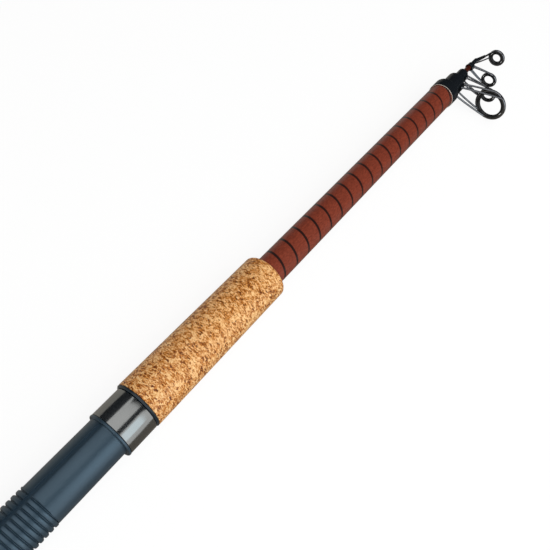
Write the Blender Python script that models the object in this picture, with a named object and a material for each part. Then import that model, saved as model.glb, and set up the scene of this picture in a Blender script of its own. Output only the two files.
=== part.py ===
"""Closed telescopic fishing rod, in metres.

The rod lies along +X: the butt cap's end face is at the origin and the tip points to +X.
+Z is up. An angle round the rod is measured from +Z towards -Y, so a screw that turns
towards larger angles moves to +X when its thread is right-handed.
"""
import bpy
import bmesh
from math import asin, cos, pi, radians, sin, tau
from mathutils import Matrix, Vector

# Clearances
GLUE_GAP = 0.0003
RUNNING_GAP = 0.0003
NEST_GAP = 0.0003
FACE_GAP = 0.0003

# Facets
GRIP_SIDES = 28
SMALL_SIDES = 20
THIN_SIDES = 12
WIRE_SIDES = 6
SMALL_EDGE = 0.0006
CUT_MARGIN = 0.0010

# Butt blank: a tapered tube from the butt to the mouth
BLANK_WALL = 0.0019
MOUTH_BLANK_R = 0.01076
BLANK_TAPER = 0.00114
FORE_BLANK_LENGTH = 0.248
BARE_BLANK_LENGTH = 0.300

# Collar on the blank's mouth, and the thin trim ring behind it
COLLAR_WALL = 0.0006
COLLAR_LENGTH = 0.0094
COLLAR_NOSE_LENGTH = 0.0012
COLLAR_LIP = 0.0012
TRIM_RING_WALL = 0.0003
TRIM_RING_LENGTH = 0.0007

# Fore grip
FORE_GRIP_LENGTH = 0.1226
FORE_CORK_BUTT = 0.0057
FORE_CORK_TIP = 0.0055
FORE_GRIP_SHOULDER = 0.0070
FORE_GRIP_END_WALL = 0.0010

# Reel seat: walls over its bore
SEAT_BARREL_WALL = 0.0022
SEAT_SMOOTH_LENGTH = 0.0484
SEAT_TAIL_WALL = 0.0035
SEAT_TAIL_LENGTH = 0.0050
THREAD_LENGTH = 0.072
THREAD_PITCH = 0.00340
THREAD_ROOT_WALL = 0.0015
THREAD_DEPTH = 0.00115
FOOT_BED_WALL = 0.0008
FOOT_BED_WIDTH = 0.0160
KEYWAY_WIDTH = 0.0027
KEYWAY_WALL = 0.0010
SEAT_TURN = radians(58)
FRONT_RING_LENGTH = 0.0027
END_RING_LENGTH = 0.0090
END_RING_WALL = 0.0007

# Fixed hood, moulded on the barrel and set towards the reel's foot
HOOD_STAND = 0.0021
HOOD_OFFSET = 0.0009
HOOD_BAND_WALL = 0.0005
HOOD_BAND_LENGTH = 0.0194
HOOD_RIM_STEP = 0.0002
HOOD_RIM_LENGTH = 0.0031
POCKET_DEPTH = 0.0170
POCKET_WALL = 0.0008
POCKET_TAPER = 0.0010
POCKET_ROOF_R = 0.0125

# Sliding hood and lock nut
SLIDING_HOOD_LENGTH = 0.0200
SLIDING_HOOD_WALL = 0.0017
SLIDING_HOOD_OFFSET = 0.0006
SLIDING_POCKET_DEPTH = 0.0140
NUT_LENGTH = 0.0220
NUT_WALL = 0.0007
NUT_FLANGE_STEP = 0.0013
NUT_FLANGE_LENGTH = 0.0030
NUT_GRIP_WALL = 0.0007
NUT_RIB_HEIGHT = 0.0005
NUT_RIBS = 14
NUT_TRIM_LENGTH = 0.0030
NUT_END_PLAY = 0.0010

# Butt end
CAP_HEAD_LENGTH = 0.0140
CAP_EDGE = 0.0030
CAP_PLUG_LENGTH = 0.0170
CAP_PLUG_WALL = 0.0018
CAP_HOLLOW_DEPTH = 0.0030
BUMPER_R = 0.0110
BUMPER_LENGTH = 0.0030
BUMPER_STAND = 0.0010
GASKET_LENGTH = 0.0015
GASKET_WIDTH = 0.0060
FERRULE_FLANGE_LENGTH = 0.0070
FERRULE_TRIM_LENGTH = 0.0030
FERRULE_TRIM_WALL = 0.0005
FERRULE_SLEEVE_LENGTH = 0.0240
REST_PAD_LENGTH = 0.0040
REAR_GRIP_LENGTH = 0.200
REAR_CORK_BUTT = 0.0047
REAR_CORK_FRONT = 0.0031
REAR_GRIP_EDGE = 0.0020
REAR_RING_LENGTH = 0.0080
REAR_RING_WALL = 0.0008

# Sliding sections: how much thinner each is at its tip than at its base, and its wall
SECTION_2 = {"taper": 0.0013, "wall": 0.0016}
SECTION_3 = {"taper": 0.0013, "wall": 0.0010}
SECTION_4 = {"taper": 0.0005, "wall": 0.0007}
TIP_SECTION = {"taper": 0.00045, "wall": 0.0}

# Guides. A sleeve stands "clear" of the piece behind it, and its feet are measured from its start.
# A ring stands "ahead" of the ring behind it, the first one ahead of the trim ring.
GUIDE_2 = {"clear": FACE_GAP, "sleeve_length": 0.0173, "sleeve_wall": 0.0005, "flare": 0.0012,
           "foot_x": (0.0092, 0.0151), "foot_angle": radians(34), "foot_height": 0.0012, "wire_r": 0.00085,
           "ahead": 0.0381, "offset": 0.0372, "ring_r": 0.0146, "insert_wall": 0.0020, "lean": radians(-4)}
GUIDE_3 = {"clear": FACE_GAP, "sleeve_length": 0.0140, "sleeve_wall": 0.0004, "flare": 0.0012,
           "foot_x": (0.0076, 0.0111), "foot_angle": radians(34), "foot_height": 0.0010, "wire_r": 0.00075,
           "ahead": 0.0071, "offset": 0.0296, "ring_r": 0.0072, "insert_wall": 0.0011, "lean": radians(4)}
GUIDE_4 = {"clear": 0.0104, "sleeve_length": 0.0062, "sleeve_wall": 0.0003, "flare": 0.0005,
           "foot_x": (0.0023, 0.0041), "foot_angle": radians(38), "foot_height": 0.0008, "wire_r": 0.00070,
           "ahead": 0.0158, "offset": 0.0210, "ring_r": 0.0072, "insert_wall": 0.0008, "lean": radians(4)}
TIP_TOP = {"clear": 0.0022, "tube_length": 0.0070, "tube_wall": 0.0008, "nose_length": 0.0125,
           "nose_rise": 0.0034, "foot_x": 0.0030, "wire_r": 0.00060,
           "ahead": 0.0305, "offset": 0.0124, "ring_r": 0.0078, "insert_wall": 0.0024, "lean": 0.0}
FLARE_LENGTH = 0.0012
SLEEVE_NOSE = 0.0011
SLEEVE_LIP = 0.0006
RING_BAND_WALL = 0.0013
RING_BAND_LENGTH = 0.0024
RING_INSERT_LENGTH = 0.0030
LEG_ANGLES = (radians(-6), radians(-22))
TIP_WIRE_ANGLE = radians(-45)

# Places along the rod, from the butt to the mouth
X_CAP_BACK = CAP_HEAD_LENGTH
X_FERRULE = X_CAP_BACK + GASKET_LENGTH + 2 * FACE_GAP
X_BLANK = X_FERRULE + FERRULE_FLANGE_LENGTH + FACE_GAP
X_REAR_RING = X_BLANK + REAR_GRIP_LENGTH + FACE_GAP
X_END_RING = X_REAR_RING + REAR_RING_LENGTH + BARE_BLANK_LENGTH
X_SEAT = X_END_RING + END_RING_LENGTH + FACE_GAP
X_THREAD = X_SEAT + SEAT_TAIL_LENGTH
X_NUT = X_THREAD + NUT_END_PLAY
X_SLIDING_HOOD = X_NUT + NUT_LENGTH + FACE_GAP
X_SMOOTH = X_THREAD + THREAD_LENGTH
X_HOOD_RIM = X_SMOOTH + SEAT_SMOOTH_LENGTH
X_BAND = X_HOOD_RIM + HOOD_RIM_LENGTH
X_FRONT_RING = X_BAND + HOOD_BAND_LENGTH
X_FORE_GRIP = X_FRONT_RING + FRONT_RING_LENGTH
X_FORE_BLANK = X_FORE_GRIP + FORE_GRIP_LENGTH
X_TRIM = X_FORE_BLANK + FORE_BLANK_LENGTH
X_COLLAR = X_TRIM + TRIM_RING_LENGTH
X_COLLAR_NOSE = X_COLLAR + COLLAR_LENGTH
X_COLLAR_END = X_COLLAR_NOSE + COLLAR_NOSE_LENGTH
X_MOUTH = X_COLLAR_NOSE - FACE_GAP
X_PLUG_END = X_CAP_BACK + CAP_PLUG_LENGTH
X_REST_PAD = X_PLUG_END + FACE_GAP
X_SECTIONS = X_REST_PAD + REST_PAD_LENGTH + FACE_GAP


def blank_r(x):
    """Outer radius of the tapered butt blank at x."""
    return MOUTH_BLANK_R + BLANK_TAPER * (X_MOUTH - x) / (X_MOUTH - X_BLANK)


# Radii of the reel seat, from its bore outwards
SEAT_BORE_R = blank_r(X_SEAT) + GLUE_GAP
THREAD_ROOT_R = SEAT_BORE_R + THREAD_ROOT_WALL
THREAD_CREST_R = THREAD_ROOT_R + THREAD_DEPTH
SEAT_BARREL_R = SEAT_BORE_R + SEAT_BARREL_WALL
SEAT_TAIL_R = SEAT_BORE_R + SEAT_TAIL_WALL
FOOT_BED_HEIGHT = SEAT_BORE_R + FOOT_BED_WALL
KEYWAY_FLOOR_R = SEAT_BORE_R + KEYWAY_WALL
HOOD_R = SEAT_BARREL_R + HOOD_STAND
HOOD_CORE_R = HOOD_R - HOOD_BAND_WALL - GLUE_GAP
RUNNING_BORE_R = THREAD_CREST_R + RUNNING_GAP
SLIDING_HOOD_R = RUNNING_BORE_R + SLIDING_HOOD_WALL
NUT_R = RUNNING_BORE_R + NUT_WALL
NUT_FLANGE_R = NUT_R + NUT_FLANGE_STEP

# Radii of the grips and the butt end
FORE_GRIP_R_BUTT = blank_r(X_FORE_GRIP) + FORE_CORK_BUTT
FORE_GRIP_R_TIP = blank_r(X_FORE_BLANK) + FORE_CORK_TIP
REAR_GRIP_R_BUTT = blank_r(X_BLANK) + REAR_CORK_BUTT
REAR_GRIP_R_FRONT = blank_r(X_REAR_RING) + REAR_CORK_FRONT
FERRULE_FLANGE_R = REAR_GRIP_R_BUTT - GLUE_GAP
CAP_R = FORE_GRIP_R_BUTT

# Radii of the nested sections: each base slides in the tip of the section outside it
nest_bore_r = MOUTH_BLANK_R - BLANK_WALL
for section_size in (SECTION_2, SECTION_3, SECTION_4, TIP_SECTION):
    section_size["base_r"] = nest_bore_r - NEST_GAP
    section_size["tip_r"] = section_size["base_r"] - section_size["taper"]
    nest_bore_r = section_size["tip_r"] - section_size["wall"]
FERRULE_BORE_R = SECTION_2["base_r"] + RUNNING_GAP
CAP_PLUG_R = FERRULE_BORE_R - RUNNING_GAP

# Places of the guides, from the mouth to the tip
sleeve_start = X_COLLAR_END
ring_start = X_TRIM
for guide_size, section_size in ((GUIDE_2, SECTION_2), (GUIDE_3, SECTION_3), (GUIDE_4, SECTION_4)):
    guide_size["sleeve_x"] = sleeve_start + guide_size["clear"]
    guide_size["sleeve_end"] = guide_size["sleeve_x"] + guide_size["sleeve_length"]
    guide_size["ring_x"] = ring_start + guide_size["ahead"]
    section_size["x_tip"] = guide_size["sleeve_end"] - SLEEVE_LIP - FACE_GAP
    sleeve_start = guide_size["sleeve_end"]
    ring_start = guide_size["ring_x"]
TIP_TOP["tube_x"] = sleeve_start + TIP_TOP["clear"]
TIP_TOP["tube_end"] = TIP_TOP["tube_x"] + TIP_TOP["tube_length"]
TIP_TOP["ring_x"] = ring_start + TIP_TOP["ahead"]
TIP_SECTION["x_tip"] = TIP_TOP["tube_end"] - TIP_TOP["wire_r"] - FACE_GAP

# Directions round the rod: it lies on its grip, its cap and the largest guide
GUIDE_DIP = asin((CAP_R - GUIDE_2["ring_r"]) / GUIDE_2["offset"])
GUIDE_ANGLE = pi / 2 + GUIDE_DIP
FOOT_ANGLE = GUIDE_ANGLE + SEAT_TURN
KEY_ANGLE = FOOT_ANGLE + pi

COLOURS = {
    "blank": ((0.17, 0.035, 0.025), 0.30, 0.0),
    "cork": ((0.52, 0.27, 0.10), 0.45, 0.0),
    "seat_plastic": ((0.045, 0.065, 0.085), 0.45, 0.0),
    "black_gloss": ((0.012, 0.012, 0.014), 0.20, 0.0),
    "dark_chrome": ((0.45, 0.45, 0.46), 0.12, 1.0),
    "guide_metal": ((0.20, 0.21, 0.23), 0.25, 1.0),
    "ceramic": ((0.05, 0.052, 0.058), 0.18, 0.0),
    "rubber": ((0.02, 0.02, 0.022), 0.75, 0.0),
    "cream_trim": ((0.75, 0.66, 0.48), 0.40, 0.0),
    "foam": ((0.10, 0.10, 0.11), 0.90, 0.0),
}


def remove_old_objects():
    for old in list(bpy.data.objects):
        bpy.data.objects.remove(old, do_unlink=True)


def material(node_name, finish):
    """Each node has its own Principled material, in one of the object's finishes."""
    colour, roughness, metallic = COLOURS[finish]
    made = bpy.data.materials.new(node_name)
    made.use_nodes = True
    shader = made.node_tree.nodes["Principled BSDF"]
    shader.inputs["Base Color"].default_value = (*colour, 1.0)
    shader.inputs["Roughness"].default_value = roughness
    shader.inputs["Metallic"].default_value = metallic
    return made


def round_the_rod(x, r, angle):
    """The point at x along the rod, r from its axis, at an angle round it."""
    return Vector((x, -r * sin(angle), r * cos(angle)))


def object_from(bm, name, finish):
    """Close off a bmesh as a named object with smooth rounds; a guide solid has no finish."""
    bmesh.ops.remove_doubles(bm, verts=bm.verts, dist=1e-6)
    bmesh.ops.dissolve_degenerate(bm, edges=bm.edges, dist=1e-7)
    bmesh.ops.recalc_face_normals(bm, faces=bm.faces)
    mesh = bpy.data.meshes.new(name)
    bm.to_mesh(mesh)
    bm.free()
    mesh.shade_smooth()
    mesh.set_sharp_from_angle(angle=radians(35))
    made = bpy.data.objects.new(name, mesh)
    bpy.context.collection.objects.link(made)
    if finish:
        made.data.materials.append(material(name, finish))
    return made


def spin_outline(bm, outline, closed, sides, start=0.0, sweep=tau):
    """Spin an outline of (x, r) points about the rod's axis."""
    verts = [bm.verts.new(round_the_rod(x, r, start)) for x, r in outline]
    pairs = list(zip(verts, verts[1:]))
    if closed:
        pairs.append((verts[-1], verts[0]))
    edges = [bm.edges.new(pair) for pair in pairs]
    bmesh.ops.spin(bm, geom=verts + edges, cent=(0, 0, 0), axis=(1, 0, 0), dvec=(0, 0, 0),
                   angle=sweep, steps=sides, use_merge=sweep == tau, use_duplicate=False)


def turned(name, outline, finish, sides=GRIP_SIDES, closed=True):
    """A turned piece: a closed outline, or an open one that starts and ends on the axis."""
    bm = bmesh.new()
    spin_outline(bm, outline, closed, sides)
    return object_from(bm, name, finish)


def arc_points(x0, r0, x1, r1, steps):
    """The points inside a quarter ellipse from (x0, r0) to (x1, r1), which starts along the rod."""
    return [(x0 + (x1 - x0) * sin(pi / 2 * k / steps), r1 + (r0 - r1) * cos(pi / 2 * k / steps))
            for k in range(1, steps)]


def on_blank(name, x0, x1, outer, finish):
    """A piece glued round the blank, with its outer outline from x0 to x1."""
    bore = [(x1, blank_r(x1) + GLUE_GAP), (x0, blank_r(x0) + GLUE_GAP)]
    return turned(name, outer + bore, finish)


def shift_across(piece, distance, angle):
    piece.data.transform(Matrix.Translation(round_the_rod(0, distance, angle)))


def combine(target, tool, operation):
    """Join a guide solid to a piece, or cut the piece with it."""
    tool.hide_render = True
    tool.display_type = "WIRE"
    step = target.modifiers.new(tool.name, "BOOLEAN")
    step.operation = operation
    step.solver = "EXACT"
    step.object = tool


def block(name, x0, x1, half_width, low, high, angle):
    """A box guide that stands out from the rod at an angle, from radius low to radius high."""
    bm = bmesh.new()
    bmesh.ops.create_cube(bm, size=1.0)
    bmesh.ops.scale(bm, vec=(x1 - x0, 2 * half_width, high - low), verts=bm.verts)
    bmesh.ops.translate(bm, vec=((x0 + x1) / 2, 0, (low + high) / 2), verts=bm.verts)
    made = object_from(bm, name, None)
    made.rotation_euler.x = angle
    return made


def round_bar(name, start, end, r_start, r_end, sides=WIRE_SIDES):
    """A round bar between two points."""
    bm = bmesh.new()
    bmesh.ops.create_cone(bm, cap_ends=True, segments=sides, radius1=r_start, radius2=r_end,
                          depth=(end - start).length)
    turn = Vector((0, 0, 1)).rotation_difference(end - start).to_matrix()
    bmesh.ops.rotate(bm, cent=(0, 0, 0), matrix=turn, verts=bm.verts)
    bmesh.ops.translate(bm, vec=(start + end) / 2, verts=bm.verts)
    return object_from(bm, name, None)


def butt_blank():
    outer = [(X_BLANK, blank_r(X_BLANK)), (X_MOUTH, blank_r(X_MOUTH))]
    inner = [(X_MOUTH, blank_r(X_MOUTH) - BLANK_WALL), (X_BLANK, blank_r(X_BLANK) - BLANK_WALL)]
    turned("butt_blank", outer + inner, "blank")


def blank_end_collar():
    """The collar covers the blank's mouth and closes over its end with a short nose."""
    bore_r = MOUTH_BLANK_R - BLANK_WALL
    seat_r = blank_r(X_COLLAR) + GLUE_GAP
    collar_r = seat_r + COLLAR_WALL
    lip_r = bore_r + COLLAR_LIP
    outer = [(X_COLLAR, collar_r), (X_COLLAR_NOSE, collar_r)]
    outer += arc_points(X_COLLAR_NOSE, collar_r, X_COLLAR_END, lip_r, 3)
    outer += [(X_COLLAR_END, lip_r), (X_COLLAR_END, bore_r)]
    seat = [(X_COLLAR_NOSE, bore_r), (X_COLLAR_NOSE, seat_r), (X_COLLAR, seat_r)]
    turned("blank_end_collar", outer + seat, "black_gloss")


def collar_trim_ring():
    x0, x1 = X_TRIM, X_COLLAR - FACE_GAP
    r = blank_r(x0) + GLUE_GAP + TRIM_RING_WALL
    on_blank("collar_trim_ring", x0, x1, [(x0, r), (x1, r)], "cream_trim")


def fore_grip():
    x0, x1 = X_FORE_GRIP + FACE_GAP, X_FORE_BLANK
    x_shoulder = x1 - FORE_GRIP_SHOULDER
    end_r = blank_r(x1) + GLUE_GAP + FORE_GRIP_END_WALL
    outer = [(x0, FORE_GRIP_R_BUTT - SMALL_EDGE), (x0 + SMALL_EDGE, FORE_GRIP_R_BUTT),
             (x_shoulder, FORE_GRIP_R_TIP)]
    outer += arc_points(x_shoulder, FORE_GRIP_R_TIP, x1, end_r, 4)
    outer += [(x1, end_r)]
    on_blank("fore_grip", x0, x1, outer, "cork")


def thread_surface(bm, x_start, x_end, sides):
    """A right-handed thread of V grooves: rows of points that climb a pitch a turn, held at both ends."""
    shape = (THREAD_ROOT_R, THREAD_CREST_R, THREAD_CREST_R)
    rows_a_pitch = len(shape)
    step = THREAD_PITCH / rows_a_pitch
    last = int((x_end - x_start) / step) + rows_a_pitch
    grid = []
    for row in range(-rows_a_pitch, last + 1):
        line = []
        for side in range(sides + 1):
            x = x_start + (row + rows_a_pitch * side / sides) * step
            r = shape[row % rows_a_pitch] if x_start < x < x_end else THREAD_ROOT_R
            x = min(max(x, x_start), x_end)
            line.append(bm.verts.new(round_the_rod(x, r, tau * side / sides)))
        grid.append(line)
    for low, high in zip(grid, grid[1:]):
        for side in range(sides):
            bm.faces.new((low[side], low[side + 1], high[side + 1], high[side]))


def seat_barrel():
    """Thread, smooth barrel and fixed hood in one moulding; the bed and the pocket take the reel's foot."""
    x_end = X_FRONT_RING - FACE_GAP
    bm = bmesh.new()
    thread_surface(bm, X_THREAD, X_SMOOTH, GRIP_SIDES)
    rest = [(X_SMOOTH, THREAD_ROOT_R), (X_SMOOTH, SEAT_BARREL_R), (x_end, SEAT_BARREL_R),
            (x_end, blank_r(x_end) + GLUE_GAP), (X_SEAT, SEAT_BORE_R), (X_SEAT, SEAT_TAIL_R - SMALL_EDGE),
            (X_SEAT + SMALL_EDGE, SEAT_TAIL_R), (X_THREAD, SEAT_TAIL_R), (X_THREAD, THREAD_ROOT_R)]
    spin_outline(bm, rest, False, GRIP_SIDES)
    barrel = object_from(bm, "seat_barrel", "seat_plastic")

    rim_r = HOOD_R + HOOD_RIM_STEP
    x_rim = X_BAND - FACE_GAP
    root_r = SEAT_BARREL_R - HOOD_OFFSET - GLUE_GAP
    hood = turned("hood_guide", [
        (X_HOOD_RIM, rim_r - SMALL_EDGE), (X_HOOD_RIM + SMALL_EDGE, rim_r), (x_rim, rim_r),
        (x_rim, HOOD_CORE_R), (x_end, HOOD_CORE_R), (x_end, root_r), (X_HOOD_RIM, root_r)], None)
    shift_across(hood, HOOD_OFFSET, FOOT_ANGLE)
    combine(barrel, hood, "UNION")

    x_pocket = X_HOOD_RIM + POCKET_DEPTH
    cut_pocket(barrel, "pocket_guide", X_HOOD_RIM, x_pocket, HOOD_CORE_R + HOOD_OFFSET - POCKET_WALL)
    bed = block("bed_guide", X_SEAT - CUT_MARGIN, x_pocket, FOOT_BED_WIDTH / 2, FOOT_BED_HEIGHT,
                SEAT_BARREL_R + SMALL_EDGE, FOOT_ANGLE)
    combine(barrel, bed, "DIFFERENCE")
    tail_bed = block("tail_bed_guide", X_SEAT - CUT_MARGIN, X_THREAD + CUT_MARGIN, FOOT_BED_WIDTH / 2,
                     FOOT_BED_HEIGHT, SEAT_TAIL_R + CUT_MARGIN, FOOT_ANGLE)
    combine(barrel, tail_bed, "DIFFERENCE")
    keyway = block("keyway_guide", X_THREAD, X_HOOD_RIM, KEYWAY_WIDTH / 2, KEYWAY_FLOOR_R,
                   THREAD_CREST_R + CUT_MARGIN, KEY_ANGLE)
    combine(barrel, keyway, "DIFFERENCE")


def cut_pocket(hood, name, x_mouth, x_bottom, reach):
    """A pocket for the reel's foot: open at x_mouth, round in its roof, which narrows to the bottom."""
    x_out = x_mouth - CUT_MARGIN if x_mouth < x_bottom else x_mouth + CUT_MARGIN
    plug = turned(name, [(x_out, 0.0), (x_out, POCKET_ROOF_R), (x_bottom, POCKET_ROOF_R - POCKET_TAPER),
                         (x_bottom, 0.0)], None, closed=False)
    shift_across(plug, reach - POCKET_ROOF_R, FOOT_ANGLE)
    under_bed = block(name + "_bed", min(x_out, x_bottom) - CUT_MARGIN, max(x_out, x_bottom) + CUT_MARGIN,
                      2 * reach, -2 * reach, FOOT_BED_HEIGHT, FOOT_ANGLE)
    combine(plug, under_bed, "DIFFERENCE")
    combine(hood, plug, "DIFFERENCE")


def fixed_hood_band():
    x0, x1 = X_BAND, X_FRONT_RING - FACE_GAP
    inner_r = HOOD_R - HOOD_BAND_WALL
    band = turned("fixed_hood_band", [(x0, HOOD_R), (x1, HOOD_R), (x1, inner_r), (x0, inner_r)],
                  "dark_chrome")
    shift_across(band, HOOD_OFFSET, FOOT_ANGLE)


def seat_front_ring():
    x0, x1 = X_FRONT_RING, X_FORE_GRIP
    outer = [(x0, HOOD_R), (x1 - SMALL_EDGE, FORE_GRIP_R_BUTT), (x1, FORE_GRIP_R_BUTT)]
    on_blank("seat_front_ring", x0, x1, outer, "black_gloss")


def seat_end_ring():
    x0, x1 = X_END_RING, X_END_RING + END_RING_LENGTH
    end_r = SEAT_TAIL_R - SMALL_EDGE
    outer = [(x0, blank_r(x0) + GLUE_GAP + END_RING_WALL), (x0 + END_RING_LENGTH * 2 / 3, end_r), (x1, end_r)]
    on_blank("seat_end_ring", x0, x1, outer, "rubber")


def sliding_hood():
    """The hood runs on the barrel by its key; its pocket faces the fixed hood."""
    x0, x1 = X_SLIDING_HOOD, X_SLIDING_HOOD + SLIDING_HOOD_LENGTH
    r = SLIDING_HOOD_R
    hood = turned("sliding_hood", [
        (x0, 0.0), (x0, r - SMALL_EDGE), (x0 + SMALL_EDGE, r), (x1 - SMALL_EDGE, r), (x1, r - SMALL_EDGE),
        (x1, 0.0)], "dark_chrome", closed=False)
    shift_across(hood, SLIDING_HOOD_OFFSET, FOOT_ANGLE)
    bore = turned("sliding_bore_guide", [
        (x0 - CUT_MARGIN, 0.0), (x0 - CUT_MARGIN, RUNNING_BORE_R), (x1 + CUT_MARGIN, RUNNING_BORE_R),
        (x1 + CUT_MARGIN, 0.0)], None, closed=False)
    combine(hood, bore, "DIFFERENCE")
    cut_pocket(hood, "sliding_pocket_guide", x1, x1 - SLIDING_POCKET_DEPTH,
               SLIDING_HOOD_R + SLIDING_HOOD_OFFSET - POCKET_WALL)
    key_width = KEYWAY_WIDTH - 2 * RUNNING_GAP
    key = block("key_guide", x0 + CUT_MARGIN, x1 - CUT_MARGIN, key_width / 2, KEYWAY_FLOOR_R + RUNNING_GAP,
                RUNNING_BORE_R + SLIDING_HOOD_WALL / 3, KEY_ANGLE)
    combine(hood, key, "UNION")


def lock_nut():
    x0, x1 = X_NUT, X_NUT + NUT_LENGTH
    x_flange = x1 - NUT_FLANGE_LENGTH
    turned("lock_nut", [
        (x0, NUT_R), (x_flange, NUT_R), (x_flange, NUT_FLANGE_R - SMALL_EDGE),
        (x_flange + SMALL_EDGE, NUT_FLANGE_R), (x1 - SMALL_EDGE, NUT_FLANGE_R), (x1, NUT_FLANGE_R - SMALL_EDGE),
        (x1, RUNNING_BORE_R), (x0, RUNNING_BORE_R)], "seat_plastic")


def lock_nut_trim():
    x0, x1 = X_NUT, X_NUT + NUT_TRIM_LENGTH
    inner_r = NUT_R + GLUE_GAP
    turned("lock_nut_trim", [
        (x0, NUT_FLANGE_R - SMALL_EDGE), (x0 + SMALL_EDGE, NUT_FLANGE_R), (x1, NUT_FLANGE_R), (x1, inner_r),
        (x0, inner_r)], "dark_chrome")


def lock_nut_grip():
    """A rubber sleeve with ribs along the rod, for the fingers."""
    x0 = X_NUT + NUT_TRIM_LENGTH + FACE_GAP
    x1 = X_NUT + NUT_LENGTH - NUT_FLANGE_LENGTH - FACE_GAP
    inner_r = NUT_R + GLUE_GAP
    low_r = inner_r + NUT_GRIP_WALL
    rib_r = low_r + NUT_RIB_HEIGHT
    spots = 4 * NUT_RIBS
    ribbed = [rib_r if spot % 4 in (0, 1) else low_r for spot in range(spots)]
    plain = [inner_r] * spots
    bm = bmesh.new()
    rows = []
    for x, radii in ((x0, ribbed), (x1, ribbed), (x1, plain), (x0, plain)):
        rows.append([bm.verts.new(round_the_rod(x, r, tau * spot / spots)) for spot, r in enumerate(radii)])
    for low, high in zip(rows, rows[1:] + rows[:1]):
        for spot in range(spots):
            after = (spot + 1) % spots
            bm.faces.new((low[spot], low[after], high[after], high[spot]))
    object_from(bm, "lock_nut_grip", "rubber")


def rear_grip():
    x0, x1 = X_BLANK, X_BLANK + REAR_GRIP_LENGTH
    edge = REAR_GRIP_EDGE
    outer = [(x0, REAR_GRIP_R_BUTT - SMALL_EDGE), (x0 + SMALL_EDGE, REAR_GRIP_R_BUTT),
             (x1 - edge, REAR_GRIP_R_FRONT), (x1, REAR_GRIP_R_FRONT - edge)]
    on_blank("rear_grip", x0, x1, outer, "cork")


def rear_grip_ring():
    x0, x1 = X_REAR_RING, X_REAR_RING + REAR_RING_LENGTH
    outer = [(x0, REAR_GRIP_R_FRONT - REAR_GRIP_EDGE), (x1, blank_r(x1) + GLUE_GAP + REAR_RING_WALL)]
    on_blank("rear_grip_ring", x0, x1, outer, "black_gloss")


def butt_ferrule():
    """A flange behind the grip and a sleeve inside the blank; the cap screws into its bore."""
    x_back = X_FERRULE + FERRULE_FLANGE_LENGTH
    x_end = x_back + FERRULE_SLEEVE_LENGTH
    x_trim = X_FERRULE + FERRULE_TRIM_LENGTH + FACE_GAP
    trim_seat_r = FERRULE_FLANGE_R - FERRULE_TRIM_WALL - GLUE_GAP
    sleeve_r = blank_r(x_end) - BLANK_WALL - GLUE_GAP
    turned("butt_ferrule", [
        (X_FERRULE, trim_seat_r), (x_trim, trim_seat_r), (x_trim, FERRULE_FLANGE_R), (x_back, FERRULE_FLANGE_R),
        (x_back, sleeve_r), (x_end, sleeve_r), (x_end, FERRULE_BORE_R), (X_FERRULE, FERRULE_BORE_R)],
        "black_gloss")


def butt_ferrule_trim():
    x0, x1 = X_FERRULE, X_FERRULE + FERRULE_TRIM_LENGTH
    inner_r = FERRULE_FLANGE_R - FERRULE_TRIM_WALL
    turned("butt_ferrule_trim", [(x0, FERRULE_FLANGE_R), (x1, FERRULE_FLANGE_R), (x1, inner_r), (x0, inner_r)],
           "dark_chrome")


def butt_cap_gasket():
    x0, x1 = X_CAP_BACK + FACE_GAP, X_CAP_BACK + FACE_GAP + GASKET_LENGTH
    inner_r = CAP_PLUG_R + RUNNING_GAP
    outer_r = inner_r + GASKET_WIDTH
    turned("butt_cap_gasket", [(x0, outer_r), (x1, outer_r), (x1, inner_r), (x0, inner_r)], "rubber",
           sides=SMALL_SIDES)


def butt_cap():
    """The cap's head with a seat for the bumper, and its hollow plug that screws into the ferrule."""
    seat_r = BUMPER_R + GLUE_GAP
    x_seat = BUMPER_LENGTH + FACE_GAP
    x_edge = BUMPER_STAND + CAP_EDGE
    hollow_r = CAP_PLUG_R - CAP_PLUG_WALL
    x_floor = X_CAP_BACK - CAP_HOLLOW_DEPTH
    outline = [(x_seat, 0.0), (x_seat, seat_r), (BUMPER_STAND, seat_r), (BUMPER_STAND, CAP_R - CAP_EDGE)]
    outline += reversed(arc_points(x_edge, CAP_R, BUMPER_STAND, CAP_R - CAP_EDGE, 3))
    outline += [(x_edge, CAP_R), (X_CAP_BACK, CAP_R), (X_CAP_BACK, CAP_PLUG_R), (X_PLUG_END, CAP_PLUG_R),
                (X_PLUG_END, hollow_r), (x_floor, hollow_r), (x_floor, 0.0)]
    turned("butt_cap", outline, "seat_plastic", closed=False)


def butt_cap_bumper():
    turned("butt_cap_bumper", [
        (0.0, 0.0), (0.0, BUMPER_R - SMALL_EDGE), (SMALL_EDGE, BUMPER_R), (BUMPER_LENGTH, BUMPER_R),
        (BUMPER_LENGTH, 0.0)], "rubber", sides=SMALL_SIDES, closed=False)


def section_rest_pad():
    x0, x1 = X_REST_PAD, X_REST_PAD + REST_PAD_LENGTH
    r = FERRULE_BORE_R - RUNNING_GAP
    turned("section_rest_pad", [(x0, 0.0), (x0, r), (x1, r), (x1, 0.0)], "foam", sides=SMALL_SIDES,
           closed=False)


def section_blank(name, size):
    """A tapered tube that stands on the rest pad when the rod is closed."""
    x_tip = size["x_tip"]
    turned(name, [
        (X_SECTIONS, size["base_r"]), (x_tip, size["tip_r"]), (x_tip, size["tip_r"] - size["wall"]),
        (X_SECTIONS, size["base_r"] - size["wall"])], "blank", sides=SMALL_SIDES)


def tip_blank():
    x_tip = TIP_SECTION["x_tip"]
    turned("tip_blank", [(X_SECTIONS, 0.0), (X_SECTIONS, TIP_SECTION["base_r"]),
                         (x_tip, TIP_SECTION["tip_r"]), (x_tip, 0.0)], "blank", sides=THIN_SIDES, closed=False)


def section_r(size, x):
    """Outer radius of a sliding section at x."""
    return size["tip_r"] + size["taper"] * (size["x_tip"] - x) / (size["x_tip"] - X_SECTIONS)


def sleeve_r(guide, section):
    return section_r(section, guide["sleeve_x"]) + GLUE_GAP + guide["sleeve_wall"]


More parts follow.
